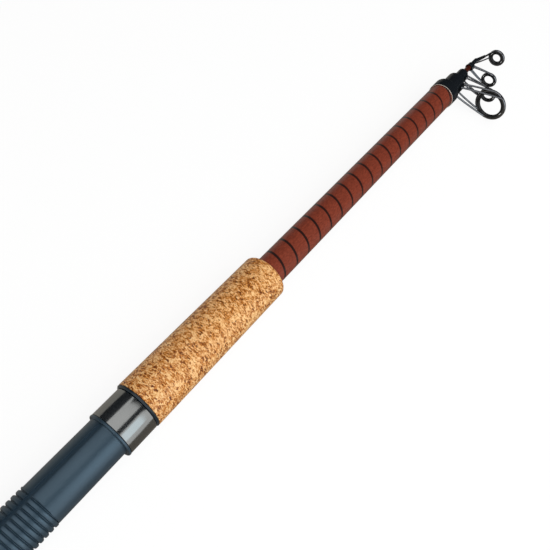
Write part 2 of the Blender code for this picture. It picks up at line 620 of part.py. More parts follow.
def guide_sleeve(name, guide, section):
    """The guide's tube round the section's tip: flared where it stops, and closed over the section's end."""
    x0, x1 = guide["sleeve_x"], guide["sleeve_end"]
    x_nose = x1 - SLEEVE_NOSE
    bore_r = section_r(section, x0) + GLUE_GAP
    r = sleeve_r(guide, section)
    flare_r = r + guide["flare"]
    lip_r = section["tip_r"] - section["wall"]
    outline = [(x0, flare_r), (x0 + FLARE_LENGTH / 2, flare_r), (x0 + FLARE_LENGTH, r), (x_nose, r)]
    outline += arc_points(x_nose, r, x1, section["tip_r"], 3)
    outline += [(x1, section["tip_r"]), (x1, lip_r), (x1 - SLEEVE_LIP, lip_r), (x1 - SLEEVE_LIP, bore_r),
                (x0, bore_r)]
    turned(name, outline, "black_gloss", sides=SMALL_SIDES)


def ring_insert(name, guide):
    """The ceramic ring, rounded where the line runs."""
    outer_r = guide["ring_r"] - RING_BAND_WALL - GLUE_GAP
    hole_r = outer_r - guide["insert_wall"]
    half = RING_INSERT_LENGTH / 2
    edge = guide["insert_wall"] / 3
    outline = [(-half, outer_r), (half, outer_r), (half, hole_r + edge), (half - edge, hole_r),
               (edge - half, hole_r), (-half, hole_r + edge)]
    place_ring(turned(name, outline, "ceramic", sides=SMALL_SIDES), guide)


def place_ring(piece, guide):
    """Put a ring made round the rod's axis in its place on the guide."""
    lean = Matrix.Rotation(guide["lean"], 4, "Y")
    lift = Matrix.Translation((guide["ring_x"], 0, guide["offset"]))
    turn = Matrix.Rotation(GUIDE_ANGLE, 4, "X")
    piece.data.transform(turn @ lift @ lean)


def ring_band(name, guide):
    r = guide["ring_r"]
    edge = RING_BAND_WALL / 3
    half = RING_BAND_LENGTH / 2
    inner_r = r - RING_BAND_WALL
    band = turned(name, [
        (-half, r - edge), (edge - half, r), (half - edge, r), (half, r - edge), (half, inner_r),
        (-half, inner_r)], "guide_metal", sides=SMALL_SIDES)
    place_ring(band, guide)
    return band


def guide_point(x, side, height):
    """A point of a guide: x along the rod, sideways, and outwards from the rod's axis."""
    return round_the_rod(x, height, GUIDE_ANGLE) + side * round_the_rod(0, 1, GUIDE_ANGLE - pi / 2)


def point_on_ring(guide, angle, side):
    """The point in the ring's band at an angle from its side, with the ring's lean."""
    along = guide["ring_r"] - RING_BAND_WALL / 2
    height = along * sin(angle)
    return guide_point(guide["ring_x"] + height * sin(guide["lean"]), side * along * cos(angle),
                       guide["offset"] + height * cos(guide["lean"]))


def add_wire(frame, name, guide, start, end):
    combine(frame, round_bar(name, start, end, guide["wire_r"], guide["wire_r"]), "UNION")


def guide_frame(name, guide, section):
    """The ring's band, four wire legs and the curved foot that lies on the sleeve."""
    frame = ring_band(name, guide)
    foot_r = sleeve_r(guide, section) + GLUE_GAP
    top_r = foot_r + guide["foot_height"]
    x_feet = [guide["sleeve_x"] + foot_x for foot_x in guide["foot_x"]]
    spread = guide["foot_angle"] + guide["wire_r"] / foot_r
    foot = part_ring(name + "_foot_guide", x_feet[0] - guide["wire_r"], x_feet[1] + guide["wire_r"], foot_r,
                     top_r, GUIDE_ANGLE - spread, 2 * spread)
    combine(frame, foot, "UNION")
    for number, x_foot in enumerate(x_feet):
        for side in (-1, 1):
            start = guide_point(x_foot, side * top_r * sin(guide["foot_angle"]),
                                top_r * cos(guide["foot_angle"]))
            end = point_on_ring(guide, LEG_ANGLES[number], side)
            add_wire(frame, f"{name}_leg_guide_{number}_{side + 1}", guide, start, end)


def part_ring(name, x0, x1, inner_r, outer_r, start, sweep):
    """Part of a tube round the rod, closed at both ends."""
    bm = bmesh.new()
    spin_outline(bm, [(x0, outer_r), (x1, outer_r), (x1, inner_r), (x0, inner_r)], True, 6, start, sweep)
    bmesh.ops.holes_fill(bm, edges=[edge for edge in bm.edges if edge.is_boundary], sides=4)
    return object_from(bm, name, None)


def tip_top_frame():
    """The tip-top's tube on the tip blank, its nose that rises to the ring, and its three wires."""
    frame = ring_band("tip_top_frame", TIP_TOP)
    x0, x1 = TIP_TOP["tube_x"], TIP_TOP["tube_end"]
    x_bore = TIP_SECTION["x_tip"] + FACE_GAP
    wire_r = TIP_TOP["wire_r"]
    bore_r = section_r(TIP_SECTION, x0) + GLUE_GAP
    tube_r = bore_r + TIP_TOP["tube_wall"]
    tip_r = bore_r + TIP_TOP["tube_wall"] / 2
    tube = turned("tip_tube_guide", [
        (x0, tube_r), (x1, tip_r), (x1, 0.0), (x_bore, 0.0), (x_bore, bore_r), (x0, bore_r)], None,
        sides=THIN_SIDES)
    combine(frame, tube, "UNION")
    nose_end = guide_point(x1 + TIP_TOP["nose_length"], 0, TIP_TOP["nose_rise"])
    nose = round_bar("tip_nose_guide", guide_point(x1 - wire_r / 2, 0, 0), nose_end, tip_r, wire_r, THIN_SIDES)
    combine(frame, nose, "UNION")
    add_wire(frame, "tip_nose_wire_guide", TIP_TOP, nose_end, point_on_ring(TIP_TOP, -pi / 2, 1))
    x_foot = x0 + TIP_TOP["foot_x"]
    side_r = (bore_r + tube_r) / 2 * sin(pi / 4)
    for side in (-1, 1):
        add_wire(frame, f"tip_wire_guide_{side + 1}", TIP_TOP, guide_point(x_foot, side * side_r, side_r),
                 point_on_ring(TIP_TOP, TIP_WIRE_ANGLE, side))


def build():
    remove_old_objects()
    butt_blank()
    blank_end_collar()
    collar_trim_ring()
    fore_grip()
    seat_barrel()
    fixed_hood_band()
    seat_front_ring()
    seat_end_ring()
    sliding_hood()
    lock_nut()
    lock_nut_grip()
    lock_nut_trim()
    rear_grip()
    rear_grip_ring()
    butt_ferrule()
    butt_ferrule_trim()
    butt_cap_gasket()
    butt_cap()
    butt_cap_bumper()
    section_rest_pad()
    for number, section, guide in ((2, SECTION_2, GUIDE_2), (3, SECTION_3, GUIDE_3), (4, SECTION_4, GUIDE_4)):
        section_blank(f"section_{number}_blank", section)
        guide_sleeve(f"section_{number}_guide_sleeve", guide, section)
        guide_frame(f"section_{number}_guide_frame", guide, section)
        ring_insert(f"section_{number}_guide_ring", guide)
    tip_blank()
    tip_top_frame()
    ring_insert("tip_top_ring", TIP_TOP)


build()
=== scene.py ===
"""The closed telescopic fishing rod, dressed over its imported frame, on a pale floor."""
from math import cos, pi, radians, sin, tan, tau

import bpy
from mathutils import Matrix, Vector


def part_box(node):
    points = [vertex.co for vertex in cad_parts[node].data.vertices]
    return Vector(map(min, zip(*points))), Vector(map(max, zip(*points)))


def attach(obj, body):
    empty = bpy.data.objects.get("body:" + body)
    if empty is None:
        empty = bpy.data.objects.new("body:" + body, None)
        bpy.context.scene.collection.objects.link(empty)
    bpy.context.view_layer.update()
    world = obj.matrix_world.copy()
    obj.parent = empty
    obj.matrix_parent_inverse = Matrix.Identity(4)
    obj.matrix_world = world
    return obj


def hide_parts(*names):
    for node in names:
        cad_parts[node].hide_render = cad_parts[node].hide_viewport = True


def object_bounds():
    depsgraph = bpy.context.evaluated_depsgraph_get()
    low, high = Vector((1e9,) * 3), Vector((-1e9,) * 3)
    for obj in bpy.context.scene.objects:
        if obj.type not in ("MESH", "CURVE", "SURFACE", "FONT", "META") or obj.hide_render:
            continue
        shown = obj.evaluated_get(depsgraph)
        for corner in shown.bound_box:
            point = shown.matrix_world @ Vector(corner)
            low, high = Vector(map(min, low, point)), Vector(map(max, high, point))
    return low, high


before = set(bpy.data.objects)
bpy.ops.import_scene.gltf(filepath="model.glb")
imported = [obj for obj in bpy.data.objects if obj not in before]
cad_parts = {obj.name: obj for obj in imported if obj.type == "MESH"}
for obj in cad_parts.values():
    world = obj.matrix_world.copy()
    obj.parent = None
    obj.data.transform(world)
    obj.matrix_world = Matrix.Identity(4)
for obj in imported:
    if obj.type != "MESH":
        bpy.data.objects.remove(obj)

cad_box = [list(corner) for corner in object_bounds()]


# The butt blank is the rod's main tube: carbon and glass cloth rolled on a tapered mandrel and baked.
# A dark thread is wound round it, and brown lacquer covers both.
BROWN_LACQUER = (0.320, 0.062, 0.031, 1)
BROWN_SHADE = (0.105, 0.018, 0.010, 1)
WOUND_THREAD = (0.020, 0.008, 0.007, 1)
THREAD_TURN = 0.01398
THREAD_SHARE = 0.085
THREAD_START = 0.943
THREAD_WANDER = 0.02
MOUTH_R = 0.01076
BLANK_TAPER = 0.00114
BLANK_WALL = 0.0019
GAP = 0.0003


def reach(name):
    """Where a node of the frame starts and ends along the rod."""
    low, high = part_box(name)
    return low[0], high[0]


X_BLANK, X_MOUTH = reach("butt_blank")


def blank_r(x):
    """The blank's outer radius at a place along the rod."""
    return MOUTH_R + BLANK_TAPER * (X_MOUTH - x) / (X_MOUTH - X_BLANK)


def drawn(name, points):
    """Start a piece as one vertex and draw it out along (place, radius) points; it stays in edit mode."""
    bpy.ops.object.select_all(action="DESELECT")
    bpy.ops.mesh.primitive_plane_add(size=0.001, location=(points[0][0], 0, points[0][1]))
    piece = bpy.context.object
    piece.name = name
    bpy.ops.object.transform_apply(location=True, rotation=True, scale=True)
    bpy.ops.object.mode_set(mode="EDIT")
    bpy.ops.mesh.select_all(action="SELECT")
    bpy.ops.mesh.merge(type="CENTER")
    for (x0, r0), (x1, r1) in zip(points, points[1:]):
        bpy.ops.mesh.extrude_region_move(TRANSFORM_OT_translate={"value": (x1 - x0, 0, r1 - r0)})
    bpy.ops.mesh.select_all(action="SELECT")
    return piece


def tidied():
    """Merge the doubles of the piece in edit mode, turn its faces outwards and leave edit mode."""
    bpy.ops.mesh.select_all(action="SELECT")
    bpy.ops.mesh.remove_doubles(threshold=0.000002)
    bpy.ops.mesh.normals_make_consistent(inside=False)
    bpy.ops.object.mode_set(mode="OBJECT")


def eased(piece, width, angle=30):
    """Round off a piece's sharp edges and shade it smooth between them."""
    bpy.ops.object.select_all(action="DESELECT")
    piece.select_set(True)
    bpy.context.view_layer.objects.active = piece
    if width:
        edge = piece.modifiers.new("eased_edges", "BEVEL")
        edge.width = width
        edge.segments = 3
        edge.limit_method = "ANGLE"
        edge.angle_limit = radians(angle)
        bpy.ops.object.modifier_apply(modifier=edge.name)
    bpy.ops.object.shade_smooth_by_angle(angle=radians(angle + 8))
    return piece


def turned(name, points, sides=96, soft=0.0002, sweep=tau):
    """Spin an outline round the rod's axis; soft is the width of the eased edges."""
    piece = drawn(name, points)
    bpy.ops.mesh.spin(steps=sides, angle=sweep, center=(0, 0, 0), axis=(1, 0, 0))
    if sweep < tau:
        bpy.ops.mesh.select_all(action="SELECT")
        bpy.ops.mesh.remove_doubles(threshold=0.000002)
        bpy.ops.mesh.fill_holes(sides=0)
    tidied()
    return eased(piece, soft)


def rounding(x0, r0, x1, r1, steps=8):
    """Points of a quarter ellipse that leaves (x0, r0) along the rod and meets (x1, r1) square."""
    return [(x0 + (x1 - x0) * sin(pi / 2 * k / steps), r1 + (r0 - r1) * cos(pi / 2 * k / steps))
            for k in range(steps + 1)]


def look(name, colour, roughness, metallic=0.0, **sockets):
    """A new material; a value that is the same all over goes on the shader's own socket."""
    made = bpy.data.materials.new(name)
    made.use_nodes = True
    shader = made.node_tree.nodes["Principled BSDF"]
    shader.inputs["Base Color"].default_value = colour
    shader.inputs["Roughness"].default_value = roughness
    shader.inputs["Metallic"].default_value = metallic
    for key, value in sockets.items():
        shader.inputs[key.replace("_", " ")].default_value = value
    return made


def feed(made, socket, value):
    """Set an input to a value, or link it to a node's output."""
    if isinstance(value, bpy.types.Node):
        value = value.outputs[0]
    if isinstance(value, bpy.types.NodeSocket):
        made.node_tree.links.new(value, socket)
    else:
        socket.default_value = value


def node(made, kind, inputs=(), **settings):
    """Add a node to a material, with its settings and inputs."""
    added = made.node_tree.nodes.new("ShaderNode" + kind)
    for key, value in settings.items():
        setattr(added, key, value)
    for key, value in dict(inputs).items():
        feed(made, added.inputs[key], value)
    return added


def sums(made, operation, first, second=0.0, third=0.0):
    """One step of arithmetic on the surface's values."""
    return node(made, "Math", {0: first, 1: second, 2: third}, operation=operation)


def place(made, scale=(1, 1, 1)):
    """The place on the object, stretched by a scale along each axis."""
    spot = node(made, "TexCoord").outputs["Object"]
    return node(made, "Mapping", {"Vector": spot, "Scale": scale})


def noise(made, spot, scale, detail=3.0, rough=0.5):
    """Soft random variation over the surface, from 0 to 1."""
    return node(made, "TexNoise", {"Vector": spot, "Scale": scale, "Detail": detail, "Roughness": rough})


def ramp(made, value, stops):
    """Colours along a value, from (position, colour) stops."""
    added = node(made, "ValToRGB", {"Fac": value})
    marks = added.color_ramp.elements
    while len(marks) < len(stops):
        marks.new(0.5)
    for mark, (position, colour) in zip(marks, stops):
        mark.position = position
        mark.color = colour
    return added


def mixed(made, share, first, second):
    """Mix two colours by a share."""
    added = made.node_tree.nodes.new("ShaderNodeMix")
    added.data_type = "RGBA"
    for index, value in ((0, share), (6, first), (7, second)):
        feed(made, added.inputs[index], value)
    return added.outputs[2]


def between(made, value, low, high):
    """Spread a 0 to 1 value from low to high."""
    return node(made, "MapRange", {"Value": value, "To Min": low, "To Max": high})


def shade(made, **sockets):
    """Feed the shader's inputs of a material."""
    shader = made.node_tree.nodes["Principled BSDF"]
    for key, value in sockets.items():
        feed(made, shader.inputs[key.replace("_", " ")], value)


def relief(made, height, distance):
    """Raise the surface by a pattern, distance metres deep."""
    shade(made, Normal=node(made, "Bump", {"Height": height, "Distance": distance}))


def lacquer(name, wound, depth=1.0):
    """Brown lacquer over cloth, with the spiral of dark thread where the tube is wound."""
    made = look(name, BROWN_LACQUER, 0.36, Coat_Weight=0.15, Coat_Roughness=0.12, Specular_IOR_Level=0.22)
    cloth = between(made, noise(made, place(made, (420, 1100, 1100)), 1.0, 4.0, 0.65), -0.35, 1.35)
    tones = [tuple(depth * part for part in tone[:3]) + (1,) for tone in (BROWN_SHADE, BROWN_LACQUER)]
    colour = mixed(made, cloth, *tones)
    weave = noise(made, place(made, (1400, 1400, 1400)), 1.0, 2.0)
    relief(made, weave, 0.00002)
    if wound:
        axes = node(made, "SeparateXYZ", {"Vector": place(made)})
        turn = sums(made, "ARCTAN2", sums(made, "MULTIPLY", axes.outputs["Y"], -1.0), axes.outputs["Z"])
        along = sums(made, "MULTIPLY_ADD", axes.outputs["X"], 1 / THREAD_TURN, -THREAD_START)
        drift = noise(made, place(made, (60, 60, 60)), 1.0, 1.0)
        wander = between(made, drift, -THREAD_WANDER, THREAD_WANDER)
        phase = sums(made, "ADD", sums(made, "MULTIPLY_ADD", turn, 1 / tau, along), wander)
        off_line = sums(made, "PINGPONG", phase, 0.5)
        line = node(made, "MapRange", {"Value": off_line, "From Min": THREAD_SHARE * 0.6,
                                       "From Max": THREAD_SHARE, "To Min": 1.0, "To Max": 0.0},
                    interpolation_type="SMOOTHSTEP")
        colour = mixed(made, line, colour, WOUND_THREAD)
    shade(made, Base_Color=colour, Roughness=between(made, weave, 0.30, 0.42))
    return made


def fitted(piece, made, name, body):
    """Give a piece its material, let it stand for its node and move it with its body."""
    if made:
        piece.data.materials.append(made)
    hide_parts(name)
    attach(piece, body)
    return piece


wound_lacquer = lacquer("wound_lacquer", True)
blank = turned("blank_tube", [
    (X_BLANK, blank_r(X_BLANK)), (X_MOUTH, MOUTH_R), (X_MOUTH, MOUTH_R - BLANK_WALL),
    (X_BLANK, blank_r(X_BLANK) - BLANK_WALL), (X_BLANK, blank_r(X_BLANK))])
fitted(blank, wound_lacquer, "butt_blank", "handle")


# A black collar closes the blank's mouth, and a thin cream ring lies against its edge.
# Both are turned from plastic and glued on; the collar keeps the mouth from splitting.
COLLAR_WALL = 0.0006
COLLAR_NOSE = 0.0012
COLLAR_LIP = 0.0012
TRIM_WALL = 0.0003

black_gloss = look("black_gloss", (0.008, 0.010, 0.012, 1), 0.24, Specular_IOR_Level=0.22)
grain = noise(black_gloss, place(black_gloss), 900, 3.0)
shade(black_gloss, Base_Color=mixed(black_gloss, grain, (0.005, 0.007, 0.010, 1), (0.012, 0.014, 0.017, 1)),
      Roughness=between(black_gloss, grain, 0.16, 0.32))
relief(black_gloss, grain, 0.00002)

x0, x1 = reach("blank_end_collar")
x_nose = x1 - COLLAR_NOSE
seat_r = blank_r(x0) + GAP
bore_r = MOUTH_R - BLANK_WALL
collar = turned("mouth_collar", [
    (x0, seat_r), (x0, seat_r + COLLAR_WALL),
    *rounding(x_nose, seat_r + COLLAR_WALL, x1, bore_r + COLLAR_LIP),
    (x1, bore_r), (x_nose, bore_r), (x_nose, seat_r), (x0, seat_r)], soft=0.00015)
fitted(collar, black_gloss, "blank_end_collar", "handle")

cream_trim = look("cream_trim", (0.86, 0.76, 0.66, 1), 0.35)
wear = noise(cream_trim, place(cream_trim), 700, 4.0)
shade(cream_trim, Base_Color=mixed(cream_trim, wear, (0.70, 0.58, 0.48, 1), (0.95, 0.88, 0.80, 1)),
      Roughness=between(cream_trim, wear, 0.25, 0.5))
x0, x1 = reach("collar_trim_ring")
seat_r = blank_r(x0) + GAP
trim = turned("mouth_trim", [
    (x0, seat_r), (x0, seat_r + TRIM_WALL), (x1, seat_r + TRIM_WALL), (x1, seat_r), (x0, seat_r)],
    soft=0.0001)
fitted(trim, cream_trim, "collar_trim_ring", "handle")


# Both grips are agglomerated cork: granules pressed with glue, turned to shape, bored and glued to the
# blank, then sealed with a clear coat. The fore grip's front end has a short round shoulder.
CORK_PALE = (1.0, 0.62, 0.28, 1)
CORK_TAN = (0.71, 0.285, 0.062, 1)
CORK_BROWN = (0.42, 0.120, 0.010, 1)
CORK_DARK = (0.12, 0.030, 0.007, 1)
GRANULE = 0.0018
CURL = 0.0040
STRANDS = 4.4
FORE_SHOULDER = 0.0026
FORE_END_RIM = 0.0018
GRIP_HEEL = 0.0030
REAR_SHOULDER = (0.0040, 0.0020)
FORE_R = (0.01687, 0.01654)
REAR_R = (0.01660, 0.01480)

cork = look("pressed_cork", CORK_TAN, 0.42, Coat_Weight=0.35, Coat_Roughness=0.06, Specular_IOR_Level=0.20)
curl = node(cork, "TexNoise", {"Vector": place(cork, (1.9, 0.9, 0.9)), "Scale": 1 / CURL, "Detail": 2.0,
                               "Roughness": 0.55, "Distortion": 1.2})
strand = sums(cork, "PINGPONG", sums(cork, "MULTIPLY", curl, STRANDS), 0.5)
bent = node(cork, "VectorMath", {0: place(cork, (1.8, 0.9, 0.9)), 1: node(
    cork, "VectorMath", {0: curl.outputs["Color"], "Scale": CURL}, operation="SCALE")}, operation="ADD")
cells = node(cork, "TexVoronoi", {"Vector": bent, "Scale": 1 / GRANULE})
granule = node(cork, "SeparateColor", {"Color": cells.outputs["Color"]})
fibre = noise(cork, bent, 800, 3.0, 0.6)
patch = noise(cork, place(cork), 170, 2.0)
tone = sums(cork, "MULTIPLY", strand, 1.10)
tone = sums(cork, "ADD", tone, sums(cork, "MULTIPLY_ADD", granule, 0.66, -0.18))
tone = sums(cork, "ADD", tone, sums(cork, "MULTIPLY_ADD", fibre, 1.1, -0.55))
tone = sums(cork, "ADD", tone, sums(cork, "MULTIPLY_ADD", patch, 0.56, -0.28))
shade(cork, Base_Color=ramp(cork, tone, [
    (0.00, CORK_DARK), (0.16, CORK_BROWN), (0.42, CORK_TAN), (0.72, CORK_PALE)]),
      Roughness=between(cork, fibre, 0.34, 0.52))
relief(cork, tone, 0.00010)

x0, x1 = reach("fore_grip")
x_shoulder = x1 - FORE_SHOULDER
end_r = blank_r(x1) + GAP + FORE_END_RIM
fore = turned("fore_grip_cork", [
    (x0, blank_r(x0) + GAP), (x0, FORE_R[0]), (x0 + GRIP_HEEL, FORE_R[0]),
    *rounding(x_shoulder, FORE_R[1], x1, end_r, 12),
    (x1, blank_r(x1) + GAP), (x0, blank_r(x0) + GAP)], sides=128, soft=0.0005)
fitted(fore, cork, "fore_grip", "handle")

x0, x1 = reach("rear_grip")
rear = turned("rear_grip_cork", [
    (x0, blank_r(x0) + GAP), (x0, REAR_R[0]), (x0 + GRIP_HEEL, REAR_R[0]),
    *rounding(x1 - REAR_SHOULDER[0], REAR_R[1], x1, REAR_R[1] - REAR_SHOULDER[1]),
    (x1, blank_r(x1) + GAP), (x0, blank_r(x0) + GAP)], sides=128, soft=0.0005)
fitted(rear, cork, "rear_grip", "handle")


# The reel seat's barrel is moulded in glass-filled nylon. Its right-handed thread has wide round crests,
# a flat bed takes the reel's foot, and a narrow channel guides the sliding hood's key.
SLATE = (0.014, 0.028, 0.043, 1)
SLATE_PALE = (0.024, 0.042, 0.060, 1)
PITCH = 0.0034
ROOT_R = 0.01314
CREST_R = 0.01429
BARREL_R = 0.01384
TAIL_R = 0.01514
CORE_R = 0.0129
SEAT_BORE_R = 0.01164
BED_HEIGHT = 0.012437
BED_HALF = 0.0080
KEYWAY_HALF = 0.00135
KEYWAY_FLOOR_R = 0.01264
SMOOTH_KEYWAY = 0.0008
BED_ANGLE = radians(151.504)
X_THREAD = 0.5460
X_SMOOTH = 0.6180
THREAD_TURNS = 25
CLEAR = 0.01
OUTSIDE_R = 0.02

slate_plastic = look("slate_plastic", SLATE, 0.38, Coat_Weight=0.25, Coat_Roughness=0.30,
                     Specular_IOR_Level=1.0, Specular_Tint=(0.55, 0.80, 1.0, 1))
mould = noise(slate_plastic, place(slate_plastic), 1500, 3.0)
cloud = noise(slate_plastic, place(slate_plastic, (40, 120, 120)), 1.0, 3.0)
shade(slate_plastic, Base_Color=mixed(slate_plastic, cloud, SLATE, SLATE_PALE),
      Roughness=between(slate_plastic, mould, 0.32, 0.44))
relief(slate_plastic, mould, 0.00002)


def cut(piece, cutter):
    """Cut a piece with a cutter and throw the cutter away."""
    bpy.ops.object.select_all(action="DESELECT")
    piece.select_set(True)
    bpy.context.view_layer.objects.active = piece
    step = piece.modifiers.new("cut", "BOOLEAN")
    step.operation = "DIFFERENCE"
    step.solver = "EXACT"
    step.object = cutter
    bpy.ops.object.modifier_apply(modifier=step.name)
    bpy.data.objects.remove(cutter, do_unlink=True)


def bar_cutter(x0, x1, half_width, low, high, angle):
    """A long box that stands out from the rod at an angle."""
    bpy.ops.object.select_all(action="DESELECT")
    bpy.ops.mesh.primitive_cube_add(size=1)
    cutter = bpy.context.object
    bpy.ops.object.mode_set(mode="EDIT")
    bpy.ops.transform.resize(value=(x1 - x0, 2 * half_width, high - low))
    bpy.ops.transform.translate(value=((x0 + x1) / 2, 0, (low + high) / 2))
    bpy.ops.object.mode_set(mode="OBJECT")
    cutter.rotation_euler.x = angle
    bpy.ops.object.transform_apply(location=True, rotation=True, scale=True)
    return cutter


def off_axis(piece, distance, angle):
    """Move a finished shell sideways, towards an angle round the rod."""
    piece.location = (0, -distance * sin(angle), distance * cos(angle))
    bpy.ops.object.transform_apply(location=True, rotation=True, scale=True)
    return piece


def joined(parts):
    """Join shells into the first of them."""
    bpy.ops.object.select_all(action="DESELECT")
    for part in parts:
        part.select_set(True)
    bpy.context.view_layer.objects.active = parts[0]
    bpy.ops.object.join()
    return parts[0]


depth = CREST_R - ROOT_R
groove = [(0.00, 0.0), (0.03, 0.03), (0.07, 0.22), (0.12, 0.55), (0.17, 0.76), (0.23, 0.90), (0.31, 0.97),
          (0.41, 1.0), (0.59, 1.0), (0.69, 0.97), (0.77, 0.90), (0.83, 0.76), (0.88, 0.55), (0.93, 0.22),
          (0.97, 0.03), (1.00, 0.0)]
thread = drawn("reel_seat", [
    (X_THREAD + PITCH * (share - 2), ROOT_R + depth * rise) for share, rise in groove])
bpy.ops.object.mode_set(mode="OBJECT")
climb = thread.modifiers.new("thread_climb", "SCREW")
climb.axis = "X"
climb.angle = tau
climb.screw_offset = PITCH
climb.iterations = THREAD_TURNS
climb.steps = climb.render_steps = 96
bpy.ops.object.modifier_apply(modifier=climb.name)
bpy.ops.object.mode_set(mode="EDIT")
bpy.ops.mesh.select_all(action="SELECT")
bpy.ops.mesh.remove_doubles(threshold=0.000004)
bpy.ops.mesh.select_all(action="SELECT")
bpy.ops.mesh.bisect(plane_co=(X_THREAD, 0, 0), plane_no=(1, 0, 0), use_fill=True, clear_inner=True)
bpy.ops.mesh.select_all(action="SELECT")
bpy.ops.mesh.bisect(plane_co=(X_SMOOTH + 0.0002, 0, 0), plane_no=(1, 0, 0), use_fill=True, clear_outer=True)
tidied()
x0, x1 = X_THREAD - CLEAR, X_SMOOTH + CLEAR
cut(thread, turned("core_cutter", [(x0, 0), (x0, CORE_R), (x1, CORE_R), (x1, 0)], soft=0))
cut(thread, bar_cutter(x0, x1, BED_HALF, BED_HEIGHT, OUTSIDE_R, BED_ANGLE))
cut(thread, bar_cutter(x0, x1, KEYWAY_HALF, KEYWAY_FLOOR_R, OUTSIDE_R, BED_ANGLE + pi))
eased(thread, 0)

X_SEAT, X_SEAT_END = reach("seat_barrel")
HOOD_R = 0.01594
HOOD_SHIFT = 0.0009
RIM_STEP = 0.0002
RIM_EDGE = 0.0004
BAND_BED = 0.0008
HOOD_ROOT = 0.0012
X_RIM = 0.6676
X_POCKET = 0.6834
POCKET_R = 0.0125
POCKET_WALL = 0.0008
POCKET_TAPER = 0.0010
x_band = reach("fixed_hood_band")[0]
barrel = turned("barrel_tube", [
    (X_SEAT, SEAT_BORE_R), (X_SEAT, TAIL_R), (X_THREAD, TAIL_R), (X_THREAD, CORE_R), (X_SMOOTH, CORE_R),
    (X_SMOOTH, BARREL_R), (X_SEAT_END, BARREL_R), (X_SEAT_END, SEAT_BORE_R), (X_SEAT, SEAT_BORE_R)],
    sides=128, soft=0.0003)
cut(barrel, bar_cutter(X_SEAT - CLEAR, X_POCKET, BED_HALF, BED_HEIGHT, OUTSIDE_R, BED_ANGLE))
cut(barrel, bar_cutter(X_SMOOTH - CLEAR / 2, X_RIM, KEYWAY_HALF, BARREL_R - SMOOTH_KEYWAY, OUTSIDE_R,
                       BED_ANGLE + pi))
eased(barrel, 0)
rim_r = HOOD_R + RIM_STEP
bed_r = HOOD_R - BAND_BED
root_r = BARREL_R - HOOD_ROOT
hood = off_axis(turned("hood_shell", [
    (X_RIM, root_r), (X_RIM, rim_r - RIM_EDGE), (X_RIM + RIM_EDGE, rim_r), (x_band - GAP, rim_r),
    (x_band - GAP, bed_r), (X_SEAT_END, bed_r), (X_SEAT_END, root_r), (X_RIM, root_r)],
    sides=128, soft=0.00025), HOOD_SHIFT, BED_ANGLE)


def pocket_cutter(x_mouth, x_bottom, reach_r):
    """A plug the shape of the reel's foot: round above the bed and flat on it."""
    x_out = x_mouth + (x_mouth - x_bottom) / 10
    plug = off_axis(turned("pocket_cutter", [
        (x_out, 0), (x_out, POCKET_R), (x_bottom, POCKET_R - POCKET_TAPER), (x_bottom, 0)], soft=0),
        reach_r - POCKET_R, BED_ANGLE)
    out = Vector((0, -sin(BED_ANGLE), cos(BED_ANGLE)))
    bpy.ops.object.mode_set(mode="EDIT")
    bpy.ops.mesh.select_all(action="SELECT")
    bpy.ops.mesh.bisect(plane_co=out * BED_HEIGHT, plane_no=out, use_fill=True, clear_inner=True)
    tidied()
    return plug


cut(hood, pocket_cutter(X_RIM, X_POCKET, bed_r + HOOD_SHIFT - POCKET_WALL))
eased(hood, 0)
fitted(joined([thread, barrel, hood]), slate_plastic, "seat_barrel", "handle")


# The fixed hood wears a shell of dark chrome-plated brass, pressed over the plastic, and a glossy dark
# blue ring leads from it to the cork. A rubber cone closes the seat's other end on the blank.
BAND_WALL = 0.0005
BAND_LIP = 0.0013
FRONT_STEP = 0.0010
CONE_EDGE = 0.0007
CONE_LENGTH = 0.0060
CONE_DROP = 0.0006
dark_chrome = look("dark_chrome", (0.30, 0.305, 0.30, 1), 0.16, 1.0)
smudge = noise(dark_chrome, place(dark_chrome, (60, 120, 120)), 1.0, 3.0)
shade(dark_chrome, Base_Color=mixed(dark_chrome, smudge, (0.27, 0.275, 0.27, 1), (0.34, 0.345, 0.34, 1)),
      Roughness=between(dark_chrome, smudge, 0.12, 0.20))
relief(dark_chrome, noise(dark_chrome, place(dark_chrome), 90, 2.0), 0.00008)

x0, x1 = reach("fixed_hood_band")
band = off_axis(turned("fixed_hood_shell", [
    (x0, HOOD_R - BAND_WALL), (x0, HOOD_R), (x1 + BAND_LIP, HOOD_R), (x1 + BAND_LIP, HOOD_R - BAND_WALL),
    (x0, HOOD_R - BAND_WALL)], sides=128, soft=0.0002), HOOD_SHIFT, BED_ANGLE)
fitted(band, dark_chrome, "fixed_hood_band", "handle")

navy_gloss = look("navy_gloss", (0.010, 0.020, 0.030, 1), 0.2, Specular_IOR_Level=0.5)
swirl = noise(navy_gloss, place(navy_gloss), 900, 3.0)
shade(navy_gloss, Base_Color=mixed(navy_gloss, swirl, (0.007, 0.014, 0.022, 1), (0.014, 0.026, 0.038, 1)),
      Roughness=between(navy_gloss, swirl, 0.14, 0.28))
relief(navy_gloss, swirl, 0.00002)
x0, x1 = reach("seat_front_ring")
x_lip = x0 + BAND_LIP
lip_r = HOOD_R - BAND_WALL - HOOD_SHIFT - GAP
front = turned("front_ring", [
    (x0, blank_r(x0) + GAP), (x0, lip_r), (x_lip, lip_r), (x_lip, HOOD_R), (x_lip + FRONT_STEP, FORE_R[0]),
    (x1, FORE_R[0]), (x1, blank_r(x1) + GAP), (x0, blank_r(x0) + GAP)], sides=128, soft=0.0003)
fitted(front, navy_gloss, "seat_front_ring", "handle")

